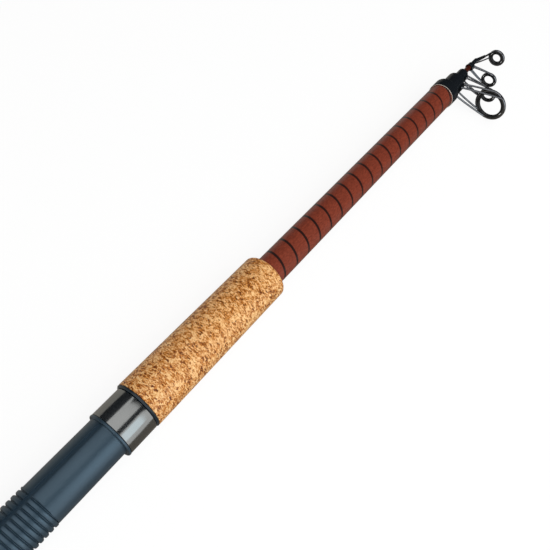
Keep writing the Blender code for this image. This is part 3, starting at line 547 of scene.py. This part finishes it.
black_rubber = look("black_rubber", (0.020, 0.020, 0.022, 1), 0.72)
pores = noise(black_rubber, place(black_rubber), 2200, 4.0)
shade(black_rubber, Roughness=between(black_rubber, pores, 0.6, 0.85),
      Base_Color=mixed(black_rubber, pores, (0.014, 0.014, 0.015, 1), (0.034, 0.033, 0.034, 1)))
relief(black_rubber, pores, 0.00006)
x0, x1 = reach("seat_end_ring")
cone = turned("seat_end_cone", [
    (x0, blank_r(x0) + GAP), (x0, blank_r(x0) + GAP + CONE_EDGE), (x0 + CONE_LENGTH, TAIL_R - CONE_DROP),
    (x1, TAIL_R - CONE_DROP), (x1, blank_r(x1) + GAP), (x0, blank_r(x0) + GAP)], soft=0.0004)
fitted(cone, black_rubber, "seat_end_ring", "handle")


# The sliding hood is plated metal with a foot pocket and an inner key that runs in the channel.
# The nut's flange is moulded in nylon; it carries a plated trim and a ribbed rubber sleeve.
SLIDE_R = 0.01629
SLIDE_SHIFT = 0.0006
SLIDE_BORE_R = 0.0120
SLIDE_EDGE = 0.0006
SLIDE_LINE = ((0.0040, 0.0), (0.0044, 0.0003), (0.0050, 0.0003), (0.0054, 0.0))
SLIDE_POCKET = 0.0140
KEY_END = 0.0010
KEY_ROOT_R = 0.0151
RUN_R = 0.01459
x0, x1 = reach("sliding_hood")
slide = off_axis(turned("sliding_hood_shell", [
    (x0, SLIDE_BORE_R), (x0, SLIDE_R - SLIDE_EDGE), (x0 + SLIDE_EDGE, SLIDE_R),
    *[(x0 + along, SLIDE_R - deep) for along, deep in SLIDE_LINE],
    (x1 - SLIDE_EDGE, SLIDE_R), (x1, SLIDE_R - SLIDE_EDGE), (x1, SLIDE_BORE_R), (x0, SLIDE_BORE_R)],
    sides=128, soft=0.0002), SLIDE_SHIFT, BED_ANGLE)
cut(slide, turned("run_cutter", [
    (x0 - CLEAR, 0), (x0 - CLEAR, RUN_R), (x1 + CLEAR, RUN_R), (x1 + CLEAR, 0)], sides=128, soft=0))
cut(slide, pocket_cutter(x1, x1 - SLIDE_POCKET, SLIDE_R + SLIDE_SHIFT - POCKET_WALL))
eased(slide, 0)
key = bar_cutter(x0 + KEY_END, x1 - KEY_END, KEYWAY_HALF - GAP, KEYWAY_FLOOR_R + GAP, KEY_ROOT_R,
                 BED_ANGLE + pi)
key.name = "hood_key"
eased(key, 0.0002)
fitted(joined([slide, key]), dark_chrome, "sliding_hood", "sliding_hood")

NUT_R = 0.01529
FLANGE_R = 0.01659
FLANGE_LENGTH = 0.0030
RUBBER_WALL = 0.0007
RUBBER_END = 0.0008
RIBS = 14
RIB_HEIGHT = 0.0005
x0, x1 = reach("lock_nut")
nut = turned("nut_flange", [
    (x0, RUN_R), (x0, NUT_R), (x1 - FLANGE_LENGTH, NUT_R), (x1 - FLANGE_LENGTH, FLANGE_R), (x1, FLANGE_R),
    (x1, RUN_R), (x0, RUN_R)], soft=0.0004)
fitted(nut, slate_plastic, "lock_nut", "lock_nut")
x0, x1 = reach("lock_nut_trim")
nut_trim = turned("nut_trim", [
    (x0, NUT_R + GAP), (x0, FLANGE_R), (x1, FLANGE_R), (x1, NUT_R + GAP), (x0, NUT_R + GAP)], soft=0.0004)
fitted(nut_trim, dark_chrome, "lock_nut_trim", "lock_nut")
x0, x1 = reach("lock_nut_grip")
low_r = NUT_R + GAP + RUBBER_WALL
sleeve = turned("nut_grip_sleeve", [
    (x0, NUT_R + GAP), (x0, low_r), (x0 + RUBBER_END, low_r), (x1 - RUBBER_END, low_r), (x1, low_r),
    (x1, NUT_R + GAP), (x0, NUT_R + GAP)], sides=RIBS * 12, soft=0)
bpy.ops.object.mode_set(mode="EDIT")
bpy.ops.mesh.select_all(action="DESELECT")
bpy.ops.object.mode_set(mode="OBJECT")
for corner in sleeve.data.vertices:
    share = (Vector((1, 0)).angle_signed(Vector((corner.co.z, corner.co.y))) / tau * RIBS) % 1
    corner.select = share < 0.5 and x0 + RUBBER_END / 2 < corner.co.x < x1 - RUBBER_END / 2
bpy.ops.object.mode_set(mode="EDIT")
rib = (low_r + RIB_HEIGHT) / low_r
bpy.ops.transform.resize(value=(1, rib, rib), center_override=(0, 0, 0))
bpy.ops.object.mode_set(mode="OBJECT")
eased(sleeve, 0.00012, 25)
fitted(sleeve, black_rubber, "lock_nut_grip", "lock_nut")


# The rear grip ends in a gloss ring, and at the butt a threaded ferrule is glued into the blank.
# The cap screws into it on a rubber gasket and carries a rubber bumper; the nested sections stand on foam.
RING_CROWN = (0.0012, 0.0002)
RING_FRONT = 0.0008
x0, x1 = reach("rear_grip_ring")
crown_r = REAR_R[1] - REAR_SHOULDER[1]
rear_ring = turned("rear_ring", [
    (x0, blank_r(x0) + GAP), (x0, crown_r), (x0 + RING_CROWN[0], crown_r - RING_CROWN[1]),
    (x1, blank_r(x1) + GAP + RING_FRONT), (x1, blank_r(x1) + GAP), (x0, blank_r(x0) + GAP)], soft=0.0003)
fitted(rear_ring, black_gloss, "rear_grip_ring", "handle")

FERRULE_R = 0.01630
FERRULE_BORE_R = 0.00886
FERRULE_FLANGE = 0.0070
TRIM_SEAT = 0.0033
TRIM_SEAT_DEPTH = 0.0008
FERRULE_TRIM_WALL = 0.0005
x0, x1 = reach("butt_ferrule")
x_back = x0 + FERRULE_FLANGE
x_trim = x0 + TRIM_SEAT
trim_r = FERRULE_R - TRIM_SEAT_DEPTH
sleeve_r = blank_r(x1) - BLANK_WALL - GAP
ferrule = turned("ferrule", [
    (x0, FERRULE_BORE_R), (x0, trim_r), (x_trim, trim_r), (x_trim, FERRULE_R),
    (x_back, FERRULE_R), (x_back, sleeve_r), (x1, sleeve_r), (x1, FERRULE_BORE_R), (x0, FERRULE_BORE_R)],
    soft=0.0002)
fitted(ferrule, black_gloss, "butt_ferrule", "handle")
x0, x1 = reach("butt_ferrule_trim")
inner_r = FERRULE_R - FERRULE_TRIM_WALL
ferrule_trim = turned("ferrule_trim", [
    (x0, inner_r), (x0, FERRULE_R), (x1, FERRULE_R), (x1, inner_r), (x0, inner_r)], soft=0.0001)
fitted(ferrule_trim, dark_chrome, "butt_ferrule_trim", "handle")

PLUG_R = 0.00856
CAP_R = 0.01687
BUMPER_R = 0.0110
BUMPER_SEAT = 0.0033
BUMPER_EDGE = 0.0006
BUMPER_LENGTH = 0.0030
BUMPER_LINE = ((0.0, 0.0060), (0.0004, 0.0064), (0.0004, 0.0070), (0.0, 0.0074))
GASKET_WIDTH = 0.0063
CAP_FACE = 0.0010
CAP_ROUND = 0.0030
CAP_LINES = (0.0065, 0.0085, 0.0105)
CAP_HOLLOW = 0.0110
PLUG_WALL = 0.0018
x0, x1 = reach("butt_cap_gasket")
gasket = turned("cap_gasket", [
    (x0, PLUG_R + GAP), (x0, PLUG_R + GASKET_WIDTH), (x1, PLUG_R + GASKET_WIDTH), (x1, PLUG_R + GAP),
    (x0, PLUG_R + GAP)], soft=0.0003)
fitted(gasket, black_rubber, "butt_cap_gasket", "cap_gasket")
x0, x1 = reach("butt_cap")
x_head = 0.0140
cap_lines = []
for middle in CAP_LINES:
    cap_lines += [(middle - 0.0004, CAP_R), (middle - 0.0002, CAP_R - 0.0003),
                  (middle + 0.0002, CAP_R - 0.0003), (middle + 0.0004, CAP_R)]
cap = turned("screw_cap", [
    (BUMPER_SEAT, 0), (BUMPER_SEAT, BUMPER_R + GAP), (CAP_FACE, BUMPER_R + GAP),
    *reversed(rounding(CAP_FACE + CAP_ROUND, CAP_R, CAP_FACE, CAP_R - CAP_ROUND)), *cap_lines,
    (x_head, CAP_R), (x_head, PLUG_R), (x1, PLUG_R), (x1, PLUG_R - PLUG_WALL),
    (CAP_HOLLOW, PLUG_R - PLUG_WALL), (CAP_HOLLOW, 0)], soft=0.0002)
fitted(cap, slate_plastic, "butt_cap", "butt_cap")
bumper = turned("end_bumper", [
    (0, 0), *BUMPER_LINE, (0, BUMPER_R - BUMPER_EDGE), (BUMPER_EDGE, BUMPER_R), (BUMPER_LENGTH, BUMPER_R),
    (BUMPER_LENGTH, 0)], soft=0.0002)
fitted(bumper, black_rubber, "butt_cap_bumper", "butt_cap")

grey_foam = look("grey_foam", (0.10, 0.10, 0.11, 1), 0.9)
cells = node(grey_foam, "TexVoronoi", {"Vector": place(grey_foam), "Scale": 1400})
shade(grey_foam, Base_Color=mixed(grey_foam, cells, (0.06, 0.06, 0.065, 1), (0.16, 0.16, 0.17, 1)))
relief(grey_foam, cells, 0.0002)
x0, x1 = reach("section_rest_pad")
pad = turned("rest_pad_foam", [(x0, 0), (x0, PLUG_R), (x1, PLUG_R), (x1, 0)], sides=64, soft=0.0005)
fitted(pad, grey_foam, "section_rest_pad", "rest_pad")


# Each sliding section is a thinner tapered tube of the same cloth, lacquered without the wound thread.
# Closed, they stand one inside another; pulled out, each jams in the tip of the one outside it.
SECTIONS = {
    2: {"base": 0.00856, "tip": 0.00726, "wall": 0.0016},
    3: {"base": 0.00536, "tip": 0.00406, "wall": 0.0010},
    4: {"base": 0.00276, "tip": 0.00226, "wall": 0.0007},
}
plain_lacquer = lacquer("plain_lacquer", False, 0.30)
for number, size in SECTIONS.items():
    x0, x1 = reach(f"section_{number}_blank")
    size["x"] = (x0, x1)
    tube = turned(f"section_{number}_tube", [
        (x0, size["base"]), (x1, size["tip"]), (x1, size["tip"] - size["wall"]),
        (x0, size["base"] - size["wall"]), (x0, size["base"])], sides=64, soft=0.0001)
    fitted(tube, plain_lacquer, f"section_{number}_blank", f"section_{number}")
x0, x1 = reach("tip_blank")
TIP_R = (0.00126, 0.00081)
tip = turned("tip_rod", [(x0, 0), (x0, TIP_R[0]), (x1, TIP_R[1]), (x1, 0)], sides=32, soft=0.0001)
fitted(tip, plain_lacquer, "tip_blank", "tip_section")


# Every section's tip wears a gloss sleeve, flared at its foot where it stops against the piece behind.
# It is moulded over the tube and carries the guide's foot.
SLEEVE_WALL = {2: 0.0005, 3: 0.0004, 4: 0.0003}
SLEEVE_FLARE = {2: 0.0012, 3: 0.0012, 4: 0.0005}
SLEEVE_FOOT = (0.0005, 0.0009, 0.0014)
SLEEVE_NOSE = 0.0011
SLEEVE_END = 0.0006
for number, size in SECTIONS.items():
    x0, x1 = reach(f"section_{number}_guide_sleeve")
    base_x, tip_x = size["x"]
    slope = (size["base"] - size["tip"]) / (tip_x - base_x)
    bore_r = size["tip"] + slope * (tip_x - x0) + GAP
    r = bore_r + SLEEVE_WALL[number]
    size["sleeve_r"] = r
    size["sleeve_x"] = x0
    flare_r = r + SLEEVE_FLARE[number]
    x_nose = x1 - SLEEVE_NOSE
    lip_r = size["tip"] - size["wall"]
    sleeve = turned(f"section_{number}_sleeve", [
        (x0, bore_r), (x0, flare_r), (x0 + SLEEVE_FOOT[0], flare_r),
        (x0 + SLEEVE_FOOT[1], r + SLEEVE_FLARE[number] * 0.25), (x0 + SLEEVE_FOOT[2], r),
        *rounding(x_nose, r, x1, size["tip"]), (x1, lip_r), (x1 - SLEEVE_END, lip_r),
        (x1 - SLEEVE_END, bore_r), (x0, bore_r)], soft=0.00015)
    fitted(sleeve, black_gloss, f"section_{number}_guide_sleeve", f"section_{number}")


# Each guide is a frame of polished gunmetal wire, brazed to a band that holds a hard ceramic ring.
# Its curved foot is glued on the sleeve, and four legs carry the band; all of them stand on one side.
GUIDE_ANGLE = radians(93.504)
BAND_HALF = 0.0012
BAND_EDGE = 0.0006
BAND_ROLL = 0.00022
INSERT_HALF = 0.0015
LEG_SUNK = 0.0007
LEG_BOW = 0.02
FOOT_SUNK = 0.0005
GUIDES = {
    2: {"ring_x": 1.1003, "offset": 0.0372, "ring_r": 0.0146, "rim": 0.0022, "insert": 0.0019,
        "lean": radians(-4), "legs": (radians(17), radians(-20)), "wire": 0.00085,
        "feet": (0.0092, 0.0151), "foot_angle": radians(34), "foot_rise": 0.0012},
    3: {"ring_x": 1.1074, "offset": 0.0296, "ring_r": 0.0072, "rim": 0.0013, "insert": 0.0016,
        "lean": radians(4), "legs": (radians(-6), radians(-22)), "wire": 0.00075,
        "feet": (0.0076, 0.0111), "foot_angle": radians(34), "foot_rise": 0.0010},
    4: {"ring_x": 1.1232, "offset": 0.0210, "ring_r": 0.0072, "rim": 0.0013, "insert": 0.0015,
        "lean": radians(4), "legs": (radians(-6), radians(-22)), "wire": 0.00070,
        "feet": (0.0023, 0.0041), "foot_angle": radians(38), "foot_rise": 0.0008},
}

gunmetal = look("gunmetal", (0.22, 0.23, 0.25, 1), 0.12, 1.0)
polish = noise(gunmetal, place(gunmetal), 800, 3.0)
shade(gunmetal, Base_Color=mixed(gunmetal, polish, (0.15, 0.16, 0.18, 1), (0.30, 0.31, 0.33, 1)),
      Roughness=between(gunmetal, polish, 0.07, 0.18))
relief(gunmetal, polish, 0.00002)
dark_ceramic = look("dark_ceramic", (0.012, 0.013, 0.015, 1), 0.16, Coat_Weight=0.3, Coat_Roughness=0.03,
                    Specular_IOR_Level=0.3)
glaze = noise(dark_ceramic, place(dark_ceramic), 600, 2.0)
shade(dark_ceramic, Roughness=between(dark_ceramic, glaze, 0.12, 0.22),
      Base_Color=mixed(dark_ceramic, glaze, (0.008, 0.009, 0.010, 1), (0.018, 0.019, 0.021, 1)))


def on_guide(x, side, height):
    """A point of a guide: along the rod, sideways, and outwards from the rod's axis."""
    out = Vector((0, -sin(GUIDE_ANGLE), cos(GUIDE_ANGLE)))
    across = Vector((0, cos(GUIDE_ANGLE), sin(GUIDE_ANGLE)))
    return Vector((x, 0, 0)) + out * height + across * side


def ring_place(guide):
    """Where a guide's ring lies, with its lean."""
    turn = Matrix.Rotation(GUIDE_ANGLE, 4, "X")
    lift = Matrix.Translation((guide["ring_x"], 0, guide["offset"]))
    return turn @ lift @ Matrix.Rotation(guide["lean"], 4, "Y")


def settled(piece, where, made):
    """Put a finished ring in its place, give it its material and leave its object at the origin."""
    piece.matrix_world = where
    piece.data.materials.append(made)
    bpy.ops.object.transform_apply(location=True, rotation=True, scale=True)
    return piece


def ring_band(name, guide):
    """The metal band: rounded outside and rolled over at its edges."""
    r = guide["ring_r"]
    inner_r = r - guide["rim"]
    rolled = [(BAND_HALF, r - BAND_EDGE), (BAND_HALF * 0.8, r - BAND_ROLL), (BAND_HALF * 0.45, r)]
    return settled(turned(name, [
        (-BAND_HALF, inner_r), *[(-x, edge_r) for x, edge_r in rolled], *reversed(rolled),
        (BAND_HALF, inner_r), (-BAND_HALF, inner_r)], soft=0.0002), ring_place(guide), gunmetal)


def ring_insert(name, guide):
    """The ceramic ring, well rounded where the line runs."""
    outer = guide["ring_r"] - guide["rim"] - GAP
    deep = guide["insert"]
    bend = [(INSERT_HALF * cos(pi * k / 10), outer - deep * 0.35 - deep * 0.65 * sin(pi * k / 10))
            for k in range(11)]
    return settled(turned(name, [
        (INSERT_HALF, outer), *bend, (-INSERT_HALF, outer), (INSERT_HALF, outer)], soft=0.00015),
        ring_place(guide), dark_ceramic)


def wire(name, start, end, radius, bow, metal, thin=1.0):
    """A drawn wire from one point to another, bowed at its middle, and thinner at its end where asked."""
    bpy.ops.object.select_all(action="DESELECT")
    bpy.ops.curve.primitive_bezier_curve_add()
    line = bpy.context.object
    line.name = name
    line.data.bevel_depth = radius
    line.data.bevel_resolution = 5
    line.data.resolution_u = 16
    line.data.use_fill_caps = True
    for point, spot, side in zip(line.data.splines[0].bezier_points, (start, end), (1, -1)):
        point.handle_left_type = point.handle_right_type = "FREE"
        lead = (end - start) * side / 3 + bow
        point.co = spot
        point.handle_right = spot + lead if side > 0 else spot - lead
        point.handle_left = spot - lead if side > 0 else spot + lead
    line.data.splines[0].bezier_points[1].radius = thin
    line.data.materials.append(metal)
    bpy.ops.object.convert(target="MESH")
    bpy.ops.object.transform_apply(location=True, rotation=True, scale=True)
    bpy.ops.object.mode_set(mode="EDIT")
    tidied()
    return eased(bpy.context.object, 0)


def on_band(guide, angle, side):
    """A point in the band at an angle from its side."""
    along = guide["ring_r"] - LEG_SUNK
    height = along * sin(angle)
    return on_guide(guide["ring_x"] + height * sin(guide["lean"]), side * along * cos(angle),
                    guide["offset"] + height * cos(guide["lean"]))


for number, guide in GUIDES.items():
    size = SECTIONS[number]
    foot_r = size["sleeve_r"] + GAP
    top_r = foot_r + guide["foot_rise"]
    feet = [size["sleeve_x"] + foot for foot in guide["feet"]]
    spread = guide["foot_angle"] + guide["wire"] / foot_r
    x0, x1 = feet[0] - guide["wire"], feet[1] + guide["wire"]
    foot = turned(f"foot_{number}", [(x0, foot_r), (x0, top_r), (x1, top_r), (x1, foot_r), (x0, foot_r)],
                  sides=24, soft=0.0, sweep=2 * spread)
    foot.rotation_euler.x = GUIDE_ANGLE + spread
    bpy.ops.object.transform_apply(location=True, rotation=True, scale=True)
    eased(foot, 0.0003)
    foot.data.materials.append(black_gloss)
    shells = [ring_band(f"guide_{number}_frame", guide), foot]
    for place_number, x_foot in enumerate(feet):
        for side in (-1, 1):
            sunk_r = top_r - FOOT_SUNK
            across = side * sunk_r * sin(guide["foot_angle"])
            start = on_guide(x_foot, across, sunk_r * cos(guide["foot_angle"]))
            end = on_band(guide, guide["legs"][place_number], side)
            bow = on_guide(0, side * LEG_BOW * (end - start).length, 0)
            shells.append(wire(f"leg_{number}", start, end, guide["wire"], bow, gunmetal))
    fitted(joined(shells), None, f"section_{number}_guide_frame", f"section_{number}")
    fitted(ring_insert(f"guide_{number}_ceramic", guide), None, f"section_{number}_guide_ring",
           f"section_{number}")


# The tip-top is a short tube glued over the tip, drawn out into a nose that rises to the last ring.
# Two more wires brace the ring from the tube's sides.
TIP_GUIDE = {"ring_x": 1.1537, "offset": 0.0124, "ring_r": 0.0078, "rim": 0.0019, "insert": 0.0019,
             "lean": 0.0}
TIP_WIRE = 0.00060
TIP_WIRE_BOW = 0.0006
TIP_BORE_R = 0.00111
TIP_TUBE_R = 0.00191
TIP_TUBE_LENGTH = 0.0070
TIP_TUBE_EDGE = (0.0004, 0.0002)
TIP_TUBE_FALL = (0.0030, 0.0001)
NOSE_ROOT = 0.0020
NOSE_REACH = 0.0125
NOSE_RISE = 0.0034
NOSE_END_R = 0.00120
BRACE_FOOT = 0.0030
BRACE_BOW = 0.0008
x0 = reach("tip_top_frame")[0]
x_tube = x0 + TIP_TUBE_LENGTH
x_bore = reach("tip_blank")[1] + GAP
tube = turned("tip_tube", [
    (x0, TIP_BORE_R), (x0, TIP_TUBE_R - TIP_TUBE_EDGE[1]), (x0 + TIP_TUBE_EDGE[0], TIP_TUBE_R),
    (x0 + TIP_TUBE_FALL[0], TIP_TUBE_R), (x_tube, TIP_TUBE_R - TIP_TUBE_FALL[1]), (x_tube, 0), (x_bore, 0),
    (x_bore, TIP_BORE_R), (x0, TIP_BORE_R)], sides=48, soft=0.0001)
tube.data.materials.append(black_gloss)
nose_end = on_guide(x_tube + NOSE_REACH, 0, NOSE_RISE)
nose = wire("tip_nose", on_guide(x_tube - NOSE_ROOT, 0, 0), nose_end, TIP_TUBE_R, Vector((0, 0, 0)),
            black_gloss, NOSE_END_R / TIP_TUBE_R)
shells = [ring_band("tip_top_metal", TIP_GUIDE), tube, nose,
          wire("tip_wire", nose_end, on_band(TIP_GUIDE, -pi / 2, 1), TIP_WIRE,
               Vector((TIP_WIRE_BOW, 0, 0)), gunmetal)]
brace_r = (TIP_BORE_R + TIP_TUBE_R) / 2 * sin(pi / 4)
for side in (-1, 1):
    start = on_guide(x0 + BRACE_FOOT, side * brace_r, brace_r)
    end = on_band(TIP_GUIDE, radians(-45), side)
    shells.append(wire("tip_brace", start, end, TIP_WIRE, on_guide(0, side * BRACE_BOW, 0), gunmetal))
fitted(joined(shells), None, "tip_top_frame", "tip_section")
fitted(ring_insert("tip_top_ceramic", TIP_GUIDE), None, "tip_top_ring", "tip_section")


# The rod lies on a pale sweep of paper under three soft boxes: a small one on the guides' side that also
# shows in the gloss, and two broad ones that only light. Grey and dark cards give the metal its stripes.
FLOOR_Z = cad_box[0][2]
CARD_LIFT = 0.0004
bpy.ops.object.select_all(action="DESELECT")
bpy.ops.mesh.primitive_plane_add(size=12, location=(0.6, 0, FLOOR_Z))
floor = bpy.context.object
floor.name = "paper_floor"
bpy.ops.object.mode_set(mode="EDIT")
bpy.ops.mesh.subdivide(number_cuts=4)
bpy.ops.object.mode_set(mode="OBJECT")
paper = look("floor_paper", (0.86, 0.86, 0.86, 1), 0.9, Specular_IOR_Level=0.0)


def watched(made):
    """1 where a camera, mirror or glass ray looks, 0 where the surface only lights the object."""
    path = node(made, "LightPath")
    return sums(made, "MAXIMUM", path.outputs["Is Camera Ray"],
                sums(made, "MAXIMUM", path.outputs["Is Glossy Ray"], path.outputs["Is Transmission Ray"]))


seen = watched(paper)
fibres = mixed(paper, noise(paper, place(paper), 30, 3.0), (0.85, 0.85, 0.85, 1), (0.87, 0.87, 0.87, 1))
shade(paper, Base_Color=mixed(paper, seen, fibres, (0.13, 0.13, 0.13, 1)),
      Emission_Color=(1, 1, 1, 1), Emission_Strength=between(paper, seen, 0.0, 0.88))
floor.data.materials.append(paper)


def from_zenith(angle, distance, x):
    """A point at an angle from straight up, towards the guides' side."""
    return Vector((x, -distance * sin(radians(angle)), distance * cos(radians(angle))))


def facing(angle, distance, x):
    """Where a flat thing stands at an angle from straight up, so that it faces the rod."""
    back = from_zenith(angle, 1.0, 0.0)
    along = Vector((1, 0, 0))
    turn = Matrix((along, back.cross(along), back)).transposed().to_4x4()
    return Matrix.Translation(from_zenith(angle, distance, x)) @ turn


def lamp(name, angle, distance, x, length, width, power, colour):
    """A soft box with one side along the rod."""
    data = bpy.data.lights.new(name, "AREA")
    data.shape = "RECTANGLE"
    data.size = length
    data.size_y = width
    data.energy = power
    data.color = colour
    made = bpy.data.objects.new(name, data)
    bpy.context.collection.objects.link(made)
    made.matrix_world = facing(angle, distance, x)
    made.visible_camera = False
    return made


lamp("key_softbox", 54, 0.9, 0.78, 0.42, 0.56, 0.68, (0.66, 0.88, 1.0))
side = lamp("side_softbox", 48, 1.0, 0.90, 1.4, 0.8, 4.0, (0.97, 0.99, 1.0))
top = lamp("top_softbox", 8, 1.3, 0.80, 1.8, 1.0, 11.5, (1.0, 0.985, 0.96))
side.visible_glossy = top.visible_glossy = False


def card(name, colour, length, width, where):
    """A card that only shows in the gloss of the object."""
    bpy.ops.object.select_all(action="DESELECT")
    bpy.ops.mesh.primitive_plane_add(size=1)
    sheet = bpy.context.object
    sheet.name = name
    bpy.ops.object.mode_set(mode="EDIT")
    bpy.ops.transform.resize(value=(length, width, 1))
    bpy.ops.object.mode_set(mode="OBJECT")
    sheet.matrix_world = where
    made = look(name, colour, 0.9, Specular_IOR_Level=0.0)
    felt = noise(made, place(made), 40, 3.0)
    shade(made, Base_Color=mixed(made, felt, tuple(0.8 * part for part in colour[:3]) + (1,), colour))
    sheet.data.materials.append(made)
    sheet.visible_camera = sheet.visible_diffuse = sheet.visible_shadow = False


for name, low, high, distance in (("card_line", 11, 30, 0.8), ("card_back", -93, -44, 0.7)):
    card(name, (0.06, 0.066, 0.075, 1), 2.6, 2 * distance * tan(radians(high - low) / 2),
         facing((low + high) / 2, distance, 1.0))
for name, colour, width, y in (("card_floor", (0.22, 0.20, 0.175, 1), 0.40, -0.19),
                               ("card_floor_back", (0.52, 0.50, 0.46, 1), 0.60, 0.31)):
    card(name, colour, 2.4, width, Matrix.Translation((0.6, y, FLOOR_Z + CARD_LIFT)))
card("card_far", (0.03, 0.03, 0.032, 1), 2.6, 3.0,
     Matrix.Translation((1.9, 0, 1.3)) @ Matrix.Rotation(radians(-90), 4, "Y"))

sky = bpy.data.worlds.new("studio")
bpy.context.scene.world = sky
sky.use_nodes = True
backdrop = sky.node_tree.nodes["Background"]
backdrop.inputs["Color"].default_value = (1, 1, 1, 1)
feed(sky, backdrop.inputs["Strength"], between(sky, watched(sky), 0.24, 1.0))


# The camera stands over the fore grip and looks towards the tip, so the butt half is out of the picture.
view = bpy.data.cameras.new("photo_camera")
view.sensor_width = 36
view.lens = 41.671
view.clip_start = 0.01
camera = bpy.data.objects.new("photo_camera", view)
bpy.context.collection.objects.link(camera)
camera.location = (0.606335, -0.027896, 0.382375)
camera.rotation_euler = (radians(24.11532), radians(-17.02404), radians(-50.52967))
bpy.context.scene.camera = camera
bpy.context.scene.view_settings.view_transform = "Standard"
